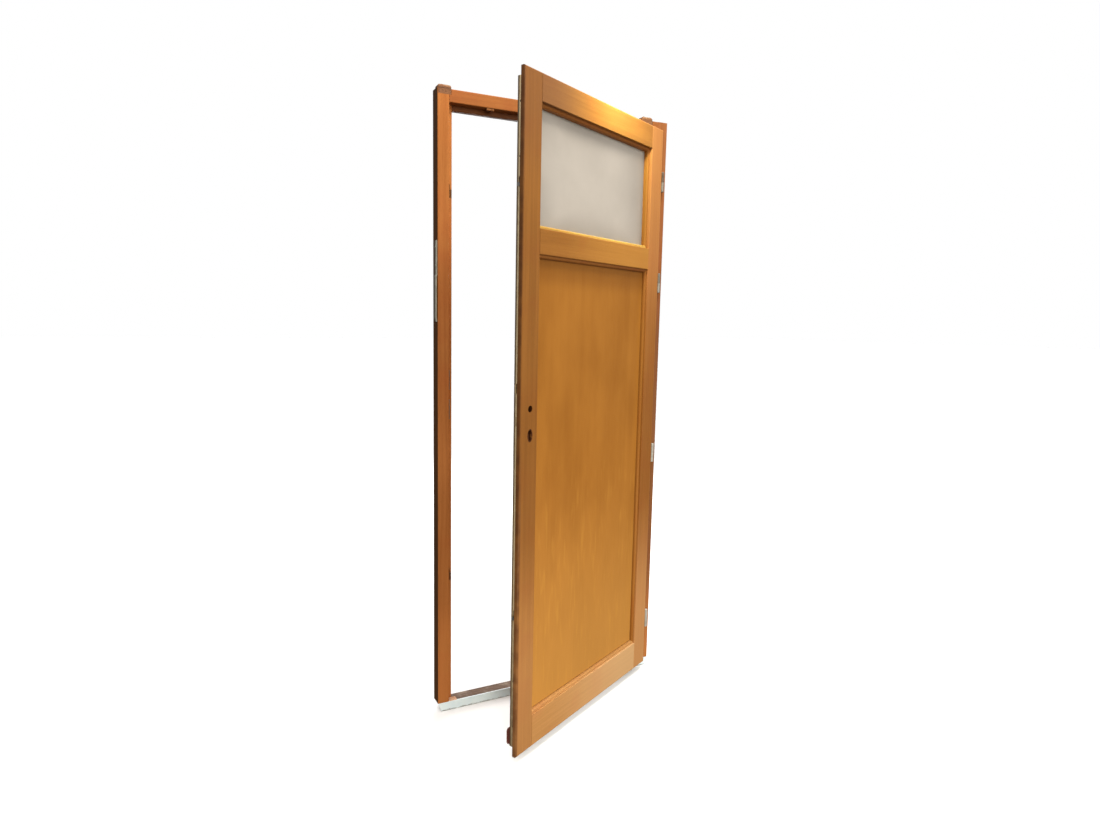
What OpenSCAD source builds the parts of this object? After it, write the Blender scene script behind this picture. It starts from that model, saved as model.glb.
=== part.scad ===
// Glazed wooden back door, hung in its own rebated frame and standing ajar.
// X runs along the doorway, Y from the room outwards and Z upwards.
// The origin is the middle of the sill's underside.

/* [Frame] */
// Width over the outer faces of the jambs
frame_width = 900; // [800:1:1000]
// Height from the top of the sill to the top of the head
frame_height = 2085; // [2040:1:2200]
// Depth of the frame from the room side to the outside
frame_depth = 45; // [42:1:60]
// Face width of the jambs and the head, beside the rebate
frame_face = 41; // [38:1:50]
// How far the stop stands into the opening past the rebate
stop_projection = 18; // [14:1:22]
// Rounding along the long front edges of the frame
frame_round = 2.5; // [1:0.5:4]

/* [Sill] */
// Height of the sill under the jambs
sill_height = 32; // [28:1:40]
// How far the sill's ends stand back under the jambs
sill_end_inset = 30; // [6:1:34]
// Thickness of the metal strip on the sill's front
strip_thickness = 2.5; // [1.5:0.5:4]
// How far the strip's ends are cut back at its lower edge
strip_end_cut = 14; // [6:1:24]
// Length of the bare wood patch in the sill's lock side corner
patch_length = 33; // [20:1:45]
// Depth of the bare wood patch
patch_depth = 24; // [16:1:28]
// Thickness of the bare wood patch
patch_thickness = 3.5; // [2:0.5:4]

/* [Head blocks] */
// Length of each wooden block let into the top of the frame
block_length = 46; // [30:1:52]
// Depth of each block from the frame's front
block_depth = 30; // [20:1:36]
// Depth of the notch that each block sits in
block_notch = 18; // [10:1:24]
// How far each block stands above the frame
block_rise = 13; // [6:1:20]
// Distance of the lock side block from the frame's outer face
lock_block_inset = 2; // [1:0.5:6]
// Distance of the hinge side block from the frame's outer face
hinge_block_inset = 66; // [62:1:120]

/* [Leaf] */
// Thickness of the leaf over its flange and its body
leaf_thickness = 40; // [38:1:44]
// Thickness of the flange that laps over the frame
flange_thickness = 15; // [13:0.5:17]
// How far the flange laps over the jambs and the head
flange_overlap = 8; // [6:0.5:10]
// How far the body of the leaf stands back from the flange's edge
edge_rebate = 18; // [17:0.5:20]
// Gap between the closed flange and the face of the frame
face_gap = 1; // [0.5:0.25:2]
// Gap between the closed body and the stop
stop_gap = 1; // [0.5:0.25:3]
// How far the flange hangs below the top of the sill
leaf_drop = 6; // [2:1:12]
// Face width of the two stiles
stile_width = 83; // [80:1:100]
// Face width of the top rail
top_rail_width = 79; // [70:1:110]
// Face width of the rail between glass and panel
middle_rail_width = 75; // [60:1:110]
// Face width of the bottom rail
bottom_rail_width = 108; // [90:1:180]
// Height of the glazed opening
glass_opening = 353; // [250:1:500]
// Rounding along the flange's front edge
flange_round = 5; // [2:0.5:6]
// Rounding along the other long edges of the leaf
arris_round = 2; // [0.5:0.5:3]
// Angle at which the leaf stands open
open_angle = 26; // [0:1:90]

/* [Glass and panel] */
// Thickness of the lip that holds glass and panel from outside
lip_thickness = 8; // [6:0.5:10]
// Width of the lip, and of the beads on the room side
bead_width = 10; // [8:0.5:14]
// Thickness of the frosted glass
glass_thickness = 6; // [4:0.5:8]
// Thickness of the veneered panel
panel_thickness = 16; // [12:0.5:18]
// How far the glazing beads lie behind the face of the leaf
glass_bead_inset = 10; // [6:0.5:14]
// How far the panel beads lie behind the face of the leaf
panel_bead_inset = 6; // [3:0.5:8]
// Rounding of the beads' front edge
bead_round = 6; // [2:0.5:7]
// Room left round the edges of glass and panel
infill_clearance = 2; // [1:0.5:4]

/* [Weather bar] */
// Height of the weather bar on the outside of the bottom rail
weather_height = 72; // [56:1:84]
// How far the weather bar stands out from the leaf
weather_depth = 22; // [16:1:24]
// Gap between the weather bar and the sill
weather_lift = 4; // [3:0.5:10]
// Gap between the ends of the closed bar and the stops
weather_end_gap = 5; // [4:0.5:12]
// Width of the lip in front of the drip groove
weather_lip = 7; // [5:0.5:9]
// Width of the drip groove under the bar
drip_width = 4; // [2:0.5:5]
// Depth of the drip groove
drip_depth = 3; // [2:0.5:5]

/* [Hinges] */
// Height of the bottom hinge above the sill
bottom_hinge_height = 175; // [140:1:260]
// Height of the second hinge above the sill
lower_hinge_height = 850; // [600:1:1000]
// Depth of the third hinge below the top of the frame
upper_hinge_drop = 585; // [450:1:800]
// Depth of the top hinge below the top of the frame
top_hinge_drop = 216; // [165:1:300]
// Radius of the hinge knuckles
knuckle_radius = 7; // [6:0.5:8]
// Height of each of a hinge's two knuckles
knuckle_height = 36; // [28:1:45]
// Gap between the two knuckles
knuckle_gap = 0.6; // [0.4:0.1:1]
// Rounding of the knuckles' outer ends
knuckle_round = 3; // [1:0.5:4]
// Distance of the hinge axis from the flange's edge
hinge_offset = 10; // [9.5:0.5:13]
// Distance of the hinge axis behind the face of the leaf
hinge_inset = 4; // [2:0.5:6]
// Radius of the hinge pins
pin_radius = 3.5; // [3:0.25:4]
// Length of the hinge pins
pin_length = 60; // [44:1:66]
// Radial clearance of a pin in its knuckles
pin_clearance = 0.05; // [0.03:0.01:0.1]
// Radius of the screw shank that holds a knuckle in the jamb
jamb_shank_radius = 4; // [3:0.25:5]
// Radius of the screw shank that holds a knuckle in the leaf
leaf_shank_radius = 3; // [2.5:0.25:4]
// Depth to which the shanks are driven
shank_depth = 30; // [20:1:36]

/* [Lock] */
// Height of the handle's axis above the sill
lock_height = 1090; // [1000:1:1150]
// Distance of the handle's axis from the edge of the leaf's body
backset = 30; // [28:0.5:32]
// Distance from the handle's axis down to the key cylinder's axis
cylinder_drop = 72; // [70:1:92]
// Diameter of the handle's hole in the stile
spindle_hole = 21; // [20.5:0.5:24]
// Across flats of the handle's square
spindle_square = 8; // [7:0.5:9]
// Radius of the key cylinder's round part
cylinder_radius = 8.5; // [8.5:0.1:9]
// Width of the key cylinder's lower part
cylinder_slot = 10; // [9.5:0.5:11]
// Overall height of the key cylinder's profile
cylinder_height = 33; // [32:0.5:35]
// Width of the full height faceplate
faceplate_width = 20; // [19:0.5:22]
// Thickness of the faceplate
faceplate_thickness = 3; // [2.5:0.5:4]
// Thickness of the latch and the dead bolt
bolt_thickness = 10; // [8:0.5:10]
// Height of the latch and the dead bolt
bolt_height = 28; // [22:1:30]
// Height of the latch above the handle's axis
latch_rise = 62; // [58:1:66]
// How far the latch stands out of the faceplate
latch_projection = 14; // [12:0.5:15]
// How far the latch draws back
latch_travel = 13.5; // [11:0.5:14]
// Depth of the dead bolt below the handle's axis
dead_bolt_drop = 38; // [34:0.5:40]
// How far the dead bolt is thrown
dead_bolt_throw = 20; // [14:1:20]
// How far the rod and its cams rise as the door is locked
rod_travel = 20; // [14:1:22]
// Depth of the upper cam below the top of the frame
upper_cam_drop = 349; // [290:1:480]
// Height of the lower cam above the sill
lower_cam_height = 440; // [350:1:600]
// How far the cams stand out of the faceplate
cam_projection = 8; // [6:0.5:8.5]
// Radius of the cams' studs
cam_radius = 4; // [3:0.25:4.5]
// Thickness of the strike plates
strike_thickness = 2; // [1.5:0.25:2.5]

/* [Wall strap] */
// Height of the strap's lower end above the sill
strap_height = 1346; // [1250:1:1420]
// Length of the fixing strap on the lock side jamb
strap_length = 264; // [200:1:300]
// Width of the strap
strap_width = 22; // [18:1:28]
// Thickness of the strap
strap_thickness = 2; // [1.5:0.25:3]
// Distance of the strap from the frame's front
strap_inset = 3; // [3:1:12]

/* [Hidden] */
$fn = 48;

// Steps in each rounded corner of a section
arc_steps = 6;
// Overrun of every cut past the surface that it opens
overrun = 1;
// Clearance of a sliding piece on each side
slide_clearance = 0.4;
// Clearance round a screw's shank and head
screw_clearance = 0.1;

frame_left = -frame_width / 2;
frame_right = frame_width / 2;
frame_front = -frame_depth / 2;
frame_back = frame_depth / 2;
frame_top = sill_height + frame_height;

leaf_margin = frame_face - flange_overlap;
leaf_left = frame_left + leaf_margin;
leaf_right = frame_right - leaf_margin;
leaf_top = frame_top - leaf_margin;
leaf_bottom = sill_height - leaf_drop;
leaf_width = leaf_right - leaf_left;
leaf_height = leaf_top - leaf_bottom;
leaf_front = frame_front - face_gap - flange_thickness;
leaf_back = leaf_front + leaf_thickness;
body_thickness = leaf_thickness - flange_thickness;
body_bottom = leaf_bottom + edge_rebate;
body_top = leaf_top - edge_rebate;
rebate_depth = body_thickness - face_gap + stop_gap;
jamb_inner = frame_left + frame_face;

lip_front = leaf_thickness - lip_thickness;
glass_top = leaf_top - top_rail_width;
glass_bottom = glass_top - glass_opening;
panel_top = glass_bottom - middle_rail_width;
panel_bottom = leaf_bottom + bottom_rail_width;
infill_left = leaf_left + stile_width;
infill_right = leaf_right - stile_width;

// Share of the weather bar's lip that is rounded under its nose
lip_round_share = 0.9;

// Tenons of the rails and the head
tenon_length = 34;
tenon_thickness = 10;
tenon_inset = 19;
tenon_shoulder = 10;
head_tenon_length = 24;
head_tenon_thickness = 11;
head_tenon_inset = 8;
head_tenon_shoulder = 3;

hinge_x = leaf_right + hinge_offset;
hinge_y = leaf_front + hinge_inset;
upper_hinge_height = frame_height - upper_hinge_drop;
top_hinge_height = frame_height - top_hinge_drop;
hinge_heights = [bottom_hinge_height, lower_hinge_height, upper_hinge_height, top_hinge_height];
// Room past the end of a pin in the upper knuckle
pin_end_gap = 1;

spindle_x = leaf_left + edge_rebate + backset;
lock_z = sill_height + lock_height;
lock_y = leaf_front + (flange_thickness + leaf_thickness) / 2;
edge_x = leaf_left + edge_rebate;
cylinder_z = lock_z - cylinder_drop;
latch_z = lock_z + latch_rise;
dead_bolt_z = lock_z - dead_bolt_drop;
cam_heights = [sill_height + lower_cam_height, frame_top - upper_cam_drop];

// Sizes of the rod behind the faceplate
rod_thickness = 2.6;
rod_width = 16;
rod_end = 20;
rod_channel = rod_thickness + 2 * slide_clearance;
rod_x = edge_x + faceplate_thickness + slide_clearance;
cam_head_radius = 5.5;
cam_head_thickness = 2.5;

// Sizes of the lock case and what it holds
case_x = edge_x + faceplate_thickness + rod_channel;
case_thickness = 14;
case_wall = 1.5;
case_wood = 8;
case_end = 13;
case_back = leaf_left + stile_width - case_wood;
case_top = latch_z + bolt_height / 2 + case_end;
case_bottom = cylinder_z - cylinder_height + cylinder_radius - case_end;
case_gap = 0.4;
hub_radius = 9;
arm_length = 22;
arm_radius = 3.5;
arm_thickness = 9;
leg_thickness = 6;
leg_gap = 0.5;
leg_bottom = 16;
dead_bolt_length = 48;
// Share of the latch's thickness that is left square at its tip
bevel_start_share = 0.2;

// Sizes of the strikes and keeps on the frame
latch_strike_height = 67;
bolt_strike_height = 68;
strike_end = 7.5;
window_clearance = 1.5;
latch_pocket_depth = 8;
bolt_pocket_end = 3;
keep_height = 42;
keep_lip_height = 26;
keep_lip_thickness = 3;
keep_lip_reach = 8.5;
keep_start = 11;
keep_screw_end = 7.5;
catch_inset = 172;
catch_length = 26;
catch_width = 18;
catch_height = 8;
catch_hole_radius = 4;

// Sizes of the countersunk wood screws
screw_head_radius = 3.6;
screw_head_height = 1.5;
screw_radius = 1.8;
screw_length = 18;
faceplate_screw_end = 70;
faceplate_screw_step = 150;

// Sizes of the strap's bends and its round headed screws
strap_joint_share = 0.56;
strap_joggle = 6;
strap_foot = 14;
strap_screw_radius = 2;
strap_screw_head_radius = 4.5;
strap_screw_head_height = 2;
strap_screw_end = 22;
strap_screw_step = 60;

frame_colour = [0.68, 0.38, 0.19];
leaf_colour = [0.69, 0.43, 0.23];
panel_colour = [0.74, 0.48, 0.22];
dark_wood_colour = [0.36, 0.16, 0.11];
bare_wood_colour = [0.87, 0.66, 0.5];
glass_colour = [0.8, 0.77, 0.7, 0.75];
metal_colour = [0.75, 0.75, 0.72];
sill_metal_colour = [0.86, 0.89, 0.91];

// Points on the arc that rounds one corner of an outline
function corner_arc(before, corner, after, radius) =
    let (
        to_before = (before - corner) / norm(before - corner),
        to_after = (after - corner) / norm(after - corner),
        half_angle = acos(to_before * to_after) / 2,
        bisector = (to_before + to_after) / norm(to_before + to_after),
        centre = corner + bisector * radius / sin(half_angle),
        first = corner + to_before * radius / tan(half_angle) - centre,
        last = corner + to_after * radius / tan(half_angle) - centre,
        start = atan2(first.y, first.x),
        turn = (atan2(last.y, last.x) - start + 540) % 360 - 180
    )
    [for (i = [0 : arc_steps])
        centre + radius * [cos(start + turn * i / arc_steps), sin(start + turn * i / arc_steps)]];

// An outline from corners given as [x, y, rounding radius]
function rounded(corners) =
    let (count = len(corners), place = [for (c = corners) [c.x, c.y]])
    [for (i = [0 : count - 1])
        each corners[i].z == 0 ? [place[i]] :
            corner_arc(place[(i + count - 1) % count], place[i], place[(i + 1) % count], corners[i].z)];

// Section of a jamb or the head: x from the outer face inwards, y from the front backwards
function frame_section() = rounded([
    [0, 0, frame_round],
    [frame_face, 0, frame_round],
    [frame_face, rebate_depth, 0],
    [frame_face + stop_projection, rebate_depth, frame_round],
    [frame_face + stop_projection, frame_depth, frame_round],
    [0, frame_depth, frame_round]
]);

// Section of a stile or an outer rail: x from the flange's edge inwards, y from the face backwards
function member_section(face) = rounded([
    [0, 0, flange_round],
    [face, 0, arris_round],
    [face, lip_front, 0],
    [face + bead_width, lip_front, 0],
    [face + bead_width, leaf_thickness, arris_round],
    [edge_rebate, leaf_thickness, arris_round],
    [edge_rebate, flange_thickness, 0],
    [0, flange_thickness, arris_round]
]);

// Section of the middle rail, with a lip on both sides
function middle_section(face) = rounded([
    [0, 0, arris_round],
    [face, 0, arris_round],
    [face, lip_front, 0],
    [face + bead_width, lip_front, 0],
    [face + bead_width, leaf_thickness, arris_round],
    [-bead_width, leaf_thickness, arris_round],
    [-bead_width, lip_front, 0],
    [0, lip_front, 0]
]);

// The leaf seen from its edge, with the flange running round top and bottom
function leaf_side() = rounded([
    [leaf_front, leaf_bottom, flange_round],
    [leaf_front, leaf_top, flange_round],
    [leaf_front + flange_thickness, leaf_top, arris_round],
    [leaf_front + flange_thickness, body_top, 0],
    [leaf_back, body_top, arris_round],
    [leaf_back, body_bottom, arris_round],
    [leaf_front + flange_thickness, body_bottom, 0],
    [leaf_front + flange_thickness, leaf_bottom, arris_round]
]);

// Carries the closed leaf's pieces round to the angle at which it stands open
module swing() {
    translate([hinge_x, hinge_y, 0])
        rotate([0, 0, open_angle])
            translate([-hinge_x, -hinge_y, 0])
                children();
}

// A bar along X whose section is drawn in Y and Z
module along_x(left, right, section) {
    translate([left, 0, 0])
        rotate([90, 0, 90])
            linear_extrude(right - left)
                polygon(section);
}

// A box given by its lowest and highest corners
module block(low, high) {
    translate(low)
        cube(high - low);
}

// A cylinder along Y from one depth to another
module along_y(x, z, front, back, radius) {
    translate([x, front, z])
        rotate([-90, 0, 0])
            cylinder(h = back - front, r = radius);
}

// A cylinder along X from one place to another
module rod_along_x(left, right, y, z, radius) {
    translate([left, y, z])
        rotate([0, 90, 0])
            cylinder(h = right - left, r = radius);
}

// The profile of a key cylinder, carried along Y
module cylinder_profile(front, back) {
    low = cylinder_height - cylinder_radius - cylinder_slot / 2;
    along_y(spindle_x, cylinder_z, front, back, cylinder_radius);
    along_y(spindle_x, cylinder_z - low, front, back, cylinder_slot / 2);
    block([spindle_x - cylinder_slot / 2, front, cylinder_z - low],
        [spindle_x + cylinder_slot / 2, back, cylinder_z]);
}

// A countersunk screw driven along X from the face of a plate: side is 1 or -1
module countersunk(face, y, z, side, spare) {
    translate([face, y, z])
        rotate([0, side * 90, 0]) {
            cylinder(h = screw_head_height, r1 = screw_head_radius + spare, r2 = screw_radius + spare);
            cylinder(h = screw_length + spare, r = screw_radius + spare);
        }
}

// Places of the screws in the strikes and keeps on the lock side jamb, as [plate thickness, height]
strike_screw_places = [
    [strike_thickness, latch_z - latch_strike_height / 2 + strike_end],
    [strike_thickness, latch_z + latch_strike_height / 2 - strike_end],
    [strike_thickness, dead_bolt_z - bolt_strike_height / 2 + strike_end],
    [strike_thickness, dead_bolt_z + bolt_strike_height / 2 - strike_end],
    [strike_thickness, cam_heights[0] + keep_start + keep_height - keep_screw_end],
    [strike_thickness, cam_heights[1] + keep_start + keep_height - keep_screw_end]
];

module strike_screw_set(spare) {
    for (place = strike_screw_places)
        countersunk(jamb_inner + place[0], lock_y, place[1], -1, spare);
}

faceplate_screw_heights = [
    body_bottom + faceplate_screw_end,
    body_bottom + faceplate_screw_end + faceplate_screw_step,
    body_top - faceplate_screw_end - faceplate_screw_step,
    body_top - faceplate_screw_end
];

module faceplate_screw_set(spare) {
    for (height = faceplate_screw_heights)
        countersunk(edge_x, lock_y, height, 1, spare);
}

// Section of a jamb stood up on the sill, before it is worked
module jamb_bar() {
    translate([frame_left, frame_front, sill_height])
        linear_extrude(frame_height)
            polygon(frame_section());
}

// The tenon that holds one end of the head, from the jamb's rebate face inwards
module head_tenon(grow) {
    block([frame_left + frame_face - head_tenon_length - grow, frame_front + head_tenon_inset,
            frame_top - frame_face + head_tenon_shoulder],
        [frame_left + frame_face, frame_front + head_tenon_inset + head_tenon_thickness,
            frame_top - block_notch - head_tenon_shoulder]);
}

// Holes for the frame's half of each hinge
module jamb_hinge_holes() {
    for (height = hinge_heights)
        along_y(hinge_x, sill_height + height - knuckle_gap / 2 - knuckle_height / 2, frame_front - overrun,
            frame_front + shank_depth, jamb_shank_radius + screw_clearance);
}

// Room for one block let into the top of the frame, or the block itself
module head_block_space(left, top, front) {
    block([left, front, frame_top - block_notch], [left + block_length, frame_front + block_depth, top]);
}

module left_jamb() {
    color(frame_colour)
        difference() {
            jamb_bar();
            head_tenon(overrun);
            head_block_space(frame_left + lock_block_inset, frame_top + overrun, frame_front - overrun);
            block([jamb_inner - latch_pocket_depth, lock_y - bolt_thickness / 2 - window_clearance,
                    latch_z - bolt_height / 2 - window_clearance],
                [jamb_inner + overrun, lock_y + bolt_thickness / 2 + window_clearance,
                    latch_z + bolt_height / 2 + window_clearance]);
            block([edge_x - dead_bolt_throw - bolt_pocket_end, lock_y - bolt_thickness / 2 - window_clearance,
                    dead_bolt_z - bolt_height / 2 - window_clearance],
                [jamb_inner + overrun, lock_y + bolt_thickness / 2 + window_clearance,
                    dead_bolt_z + bolt_height / 2 + window_clearance]);
            strike_screw_set(screw_clearance);
            strap_screw_set(screw_clearance);
        }
}

module right_jamb() {
    color(frame_colour)
        difference() {
            mirror([1, 0, 0])
                jamb_bar();
            mirror([1, 0, 0])
                head_tenon(overrun);
            jamb_hinge_holes();
        }
}

module frame_head() {
    color(frame_colour) {
        difference() {
            translate([jamb_inner, frame_front, frame_top])
                rotate([0, 90, 0])
                    linear_extrude(-2 * jamb_inner)
                        polygon(frame_section());
            for (side = [0, 1])
                mirror([side, 0, 0])
                    block([jamb_inner - overrun, frame_front + rebate_depth,
                            frame_top - frame_face - stop_projection - overrun],
                        [jamb_inner + stop_projection, frame_back + overrun, frame_top + overrun]);
            head_block_space(frame_right - hinge_block_inset - block_length, frame_top + overrun,
                frame_front - overrun);
            head_block_space(frame_left + lock_block_inset, frame_top + overrun, frame_front - overrun);
        }
        for (side = [0, 1])
            mirror([side, 0, 0])
                head_tenon(0);
    }
}

module sill_board() {
    color(dark_wood_colour)
        block([frame_left + sill_end_inset, frame_front + strip_thickness, 0],
            [frame_right - sill_end_inset, frame_back, sill_height]);
}

// The strip covers the sill's front, and its ends slope in towards the lower edge
module sill_strip() {
    color(sill_metal_colour)
        translate([0, frame_front + strip_thickness, 0])
            rotate([90, 0, 0])
                linear_extrude(strip_thickness)
                    polygon([
                        [frame_left, sill_height],
                        [frame_left + strip_end_cut, 0],
                        [frame_right - strip_end_cut, 0],
                        [frame_right, sill_height]
                    ]);
}

module sill_patch() {
    color(bare_wood_colour)
        translate([0, 0, sill_height])
            linear_extrude(patch_thickness)
                polygon([
                    [jamb_inner, frame_front + patch_depth],
                    [jamb_inner, frame_front],
                    [jamb_inner + patch_length, frame_front],
                    [jamb_inner + patch_length - patch_thickness, frame_front + patch_depth]
                ]);
}

// A block let into the top of the frame, with its upper edges worn round
module head_block(left) {
    color(dark_wood_colour)
        intersection() {
            along_x(left, left + block_length, rounded([
                [frame_front, frame_top - block_notch, 0],
                [frame_front, frame_top + block_rise, block_rise / 2],
                [frame_front + block_depth, frame_top + block_rise, block_rise / 2],
                [frame_front + block_depth, frame_top - block_notch, 0]
            ]));
            translate([0, frame_front + block_depth, 0])
                rotate([90, 0, 0])
                    linear_extrude(block_depth)
                        polygon(rounded([
                            [left, frame_top - block_notch, 0],
                            [left, frame_top + block_rise, block_rise],
                            [left + block_length, frame_top + block_rise, block_rise],
                            [left + block_length, frame_top - block_notch, 0]
                        ]));
        }
}

module lock_side_block() {
    head_block(frame_left + lock_block_inset);
}

module hinge_side_block() {
    head_block(frame_right - hinge_block_inset - block_length);
}

// A strike plate on the lock side jamb, with a window for a bolt
module strike_plate(z, height) {
    color(metal_colour)
        difference() {
            block([jamb_inner, lock_y - faceplate_width / 2, z - height / 2],
                [jamb_inner + strike_thickness, lock_y + faceplate_width / 2, z + height / 2]);
            block([jamb_inner - overrun, lock_y - bolt_thickness / 2 - window_clearance,
                    z - bolt_height / 2 - window_clearance],
                [jamb_inner + strike_thickness + overrun, lock_y + bolt_thickness / 2 + window_clearance,
                    z + bolt_height / 2 + window_clearance]);
            strike_screw_set(screw_clearance);
        }
}

module latch_strike() {
    strike_plate(latch_z, latch_strike_height);
}

module bolt_strike() {
    strike_plate(dead_bolt_z, bolt_strike_height);
}

// A keep whose lip stands in front of a cam once the cam has risen
module cam_keep(cam_z) {
    low = cam_z + keep_start;
    color(metal_colour)
        difference() {
            union() {
                block([jamb_inner, lock_y - faceplate_width / 2, low],
                    [jamb_inner + strike_thickness, lock_y + faceplate_width / 2, low + keep_height]);
                block([jamb_inner, lock_y - faceplate_width / 2, low],
                    [jamb_inner + keep_lip_reach, lock_y - faceplate_width / 2 + keep_lip_thickness,
                        low + keep_lip_height]);
            }
            strike_screw_set(screw_clearance);
        }
}

module lower_keep() {
    cam_keep(cam_heights[0]);
}

module upper_keep() {
    cam_keep(cam_heights[1]);
}

// A small catch under the head, with a round socket in its underside
module head_catch() {
    top = frame_top - frame_face;
    left = frame_left + catch_inset;
    color(metal_colour)
        difference() {
            along_x(left, left + catch_length, rounded([
                [lock_y - catch_width / 2, top, 0],
                [lock_y - catch_width / 2, top - catch_height, arris_round],
                [lock_y + catch_width / 2, top - catch_height, arris_round],
                [lock_y + catch_width / 2, top, 0]
            ]));
            translate([left + catch_length / 2, lock_y, top - catch_height - overrun])
                cylinder(h = catch_height, r = catch_hole_radius);
        }
}

module strike_screws() {
    color(metal_colour)
        strike_screw_set(0);
}

// The strap's own edge: flat on the jamb above, joggled out below, with a foot turned back in
module wall_strap() {
    bottom = sill_height + strap_height;
    joint = bottom + strap_length * strap_joint_share;
    t = strap_thickness;
    color(metal_colour)
        difference() {
            translate([frame_left, frame_front + strap_inset + strap_width, 0])
                rotate([90, 0, 0])
                    linear_extrude(strap_width)
                        polygon([
                            [0, bottom + strap_length],
                            [-t, bottom + strap_length],
                            [-t, joint + strap_joggle],
                            [-2 * t, joint],
                            [-2 * t, bottom + strap_foot],
                            [-t, bottom],
                            [0, bottom],
                            [-t, bottom + strap_foot],
                            [-t, joint],
                            [0, joint + strap_joggle]
                        ]);
            strap_screw_set(screw_clearance);
        }
}

module strap_screw_set(spare) {
    top = sill_height + strap_height + strap_length - strap_screw_end;
    for (height = [top, top - strap_screw_step])
        translate([frame_left - strap_thickness, frame_front + strap_inset + strap_width / 2, height])
            rotate([0, 90, 0])
                cylinder(h = screw_length + spare, r = strap_screw_radius + spare);
}

module strap_screws() {
    top = sill_height + strap_height + strap_length - strap_screw_end;
    color(metal_colour) {
        strap_screw_set(0);
        for (height = [top, top - strap_screw_step])
            rod_along_x(frame_left - strap_thickness - strap_screw_head_height, frame_left - strap_thickness,
                frame_front + strap_inset + strap_width / 2, height, strap_screw_head_radius);
    }
}

// One knuckle standing on z = 0, rounded at its top
module knuckle_shell() {
    rotate_extrude()
        polygon(rounded([
            [0, 0, 0],
            [knuckle_radius, 0, 0],
            [knuckle_radius, knuckle_height, knuckle_round],
            [0, knuckle_height, 0]
        ]));
}

// The frame's half of a hinge: the lower knuckle and the shank driven into the jamb
module hinge_base(height) {
    split = sill_height + height - knuckle_gap / 2;
    color(metal_colour)
        difference() {
            union() {
                translate([hinge_x, hinge_y, split])
                    mirror([0, 0, 1])
                        knuckle_shell();
                along_y(hinge_x, split - knuckle_height / 2, hinge_y, frame_front + shank_depth,
                    jamb_shank_radius);
            }
            translate([hinge_x, hinge_y, sill_height + height - pin_length / 2])
                cylinder(h = pin_length, r = pin_radius + pin_clearance);
        }
}

// The leaf's half of a hinge: the upper knuckle and the shank driven into the flange
module hinge_knuckle(height) {
    split = sill_height + height + knuckle_gap / 2;
    color(metal_colour)
        swing()
            difference() {
                union() {
                    translate([hinge_x, hinge_y, split])
                        knuckle_shell();
                    rod_along_x(leaf_right - shank_depth, hinge_x, leaf_front + flange_thickness / 2,
                        split + knuckle_height / 2, leaf_shank_radius);
                }
                translate([hinge_x, hinge_y, sill_height + height - pin_length / 2])
                    cylinder(h = pin_length + pin_end_gap, r = pin_radius + pin_clearance);
            }
}

module bottom_hinge_base() {
    hinge_base(bottom_hinge_height);
}

module lower_hinge_base() {
    hinge_base(lower_hinge_height);
}

module upper_hinge_base() {
    hinge_base(upper_hinge_height);
}

module top_hinge_base() {
    hinge_base(top_hinge_height);
}

module bottom_hinge_knuckle() {
    hinge_knuckle(bottom_hinge_height);
}

module lower_hinge_knuckle() {
    hinge_knuckle(lower_hinge_height);
}

module upper_hinge_knuckle() {
    hinge_knuckle(upper_hinge_height);
}

module top_hinge_knuckle() {
    hinge_knuckle(top_hinge_height);
}

module hinge_pins() {
    color(metal_colour)
        for (height = hinge_heights)
            translate([hinge_x, hinge_y, sill_height + height - pin_length / 2])
                cylinder(h = pin_length, r = pin_radius);
}

// A stile standing on the lock side, shaped by its section and by the leaf's edge
module stile_bar() {
    intersection() {
        translate([leaf_left, leaf_front, leaf_bottom])
            linear_extrude(leaf_height)
                polygon(member_section(stile_width));
        along_x(leaf_left - overrun, leaf_left + stile_width + bead_width + overrun, leaf_side());
    }
}

// The tenon at the lock side end of a rail whose body runs between two heights
module rail_tenon(low, high, grow) {
    block([infill_left - tenon_length - grow, leaf_front + tenon_inset, low + tenon_shoulder],
        [infill_left, leaf_front + tenon_inset + tenon_thickness, high - tenon_shoulder]);
}

// All three tenons on one side, or the mortises for them
module tenon_set(grow) {
    rail_tenon(glass_top, body_top, grow);
    rail_tenon(panel_top, glass_bottom, grow);
    rail_tenon(body_bottom, panel_bottom, grow);
}

module lock_stile() {
    groove = faceplate_thickness + rod_channel;
    color(leaf_colour)
        swing()
            difference() {
                stile_bar();
                tenon_set(overrun);
                block([edge_x - overrun, lock_y - faceplate_width / 2, body_bottom - overrun],
                    [edge_x + faceplate_thickness, lock_y + faceplate_width / 2, body_top + overrun]);
                block([edge_x - overrun, lock_y - rod_width / 2 - slide_clearance,
                        cam_heights[0] - rod_end - overrun],
                    [edge_x + groove, lock_y + rod_width / 2 + slide_clearance,
                        cam_heights[1] + rod_end + rod_travel + overrun]);
                block([edge_x, lock_y - case_thickness / 2 - case_gap, case_bottom - case_gap],
                    [case_back + case_gap, lock_y + case_thickness / 2 + case_gap, case_top + case_gap]);
                along_y(spindle_x, lock_z, leaf_front - overrun, leaf_back + overrun, spindle_hole / 2);
                cylinder_profile(leaf_front - overrun, leaf_back + overrun);
                faceplate_screw_set(screw_clearance);
            }
}

module hinge_stile() {
    color(leaf_colour)
        swing()
            difference() {
                mirror([1, 0, 0])
                    stile_bar();
                mirror([1, 0, 0])
                    tenon_set(overrun);
                for (height = hinge_heights)
                    rod_along_x(leaf_right - shank_depth, leaf_right + overrun,
                        leaf_front + flange_thickness / 2,
                        sill_height + height + knuckle_gap / 2 + knuckle_height / 2,
                        leaf_shank_radius + screw_clearance);
            }
}

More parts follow.
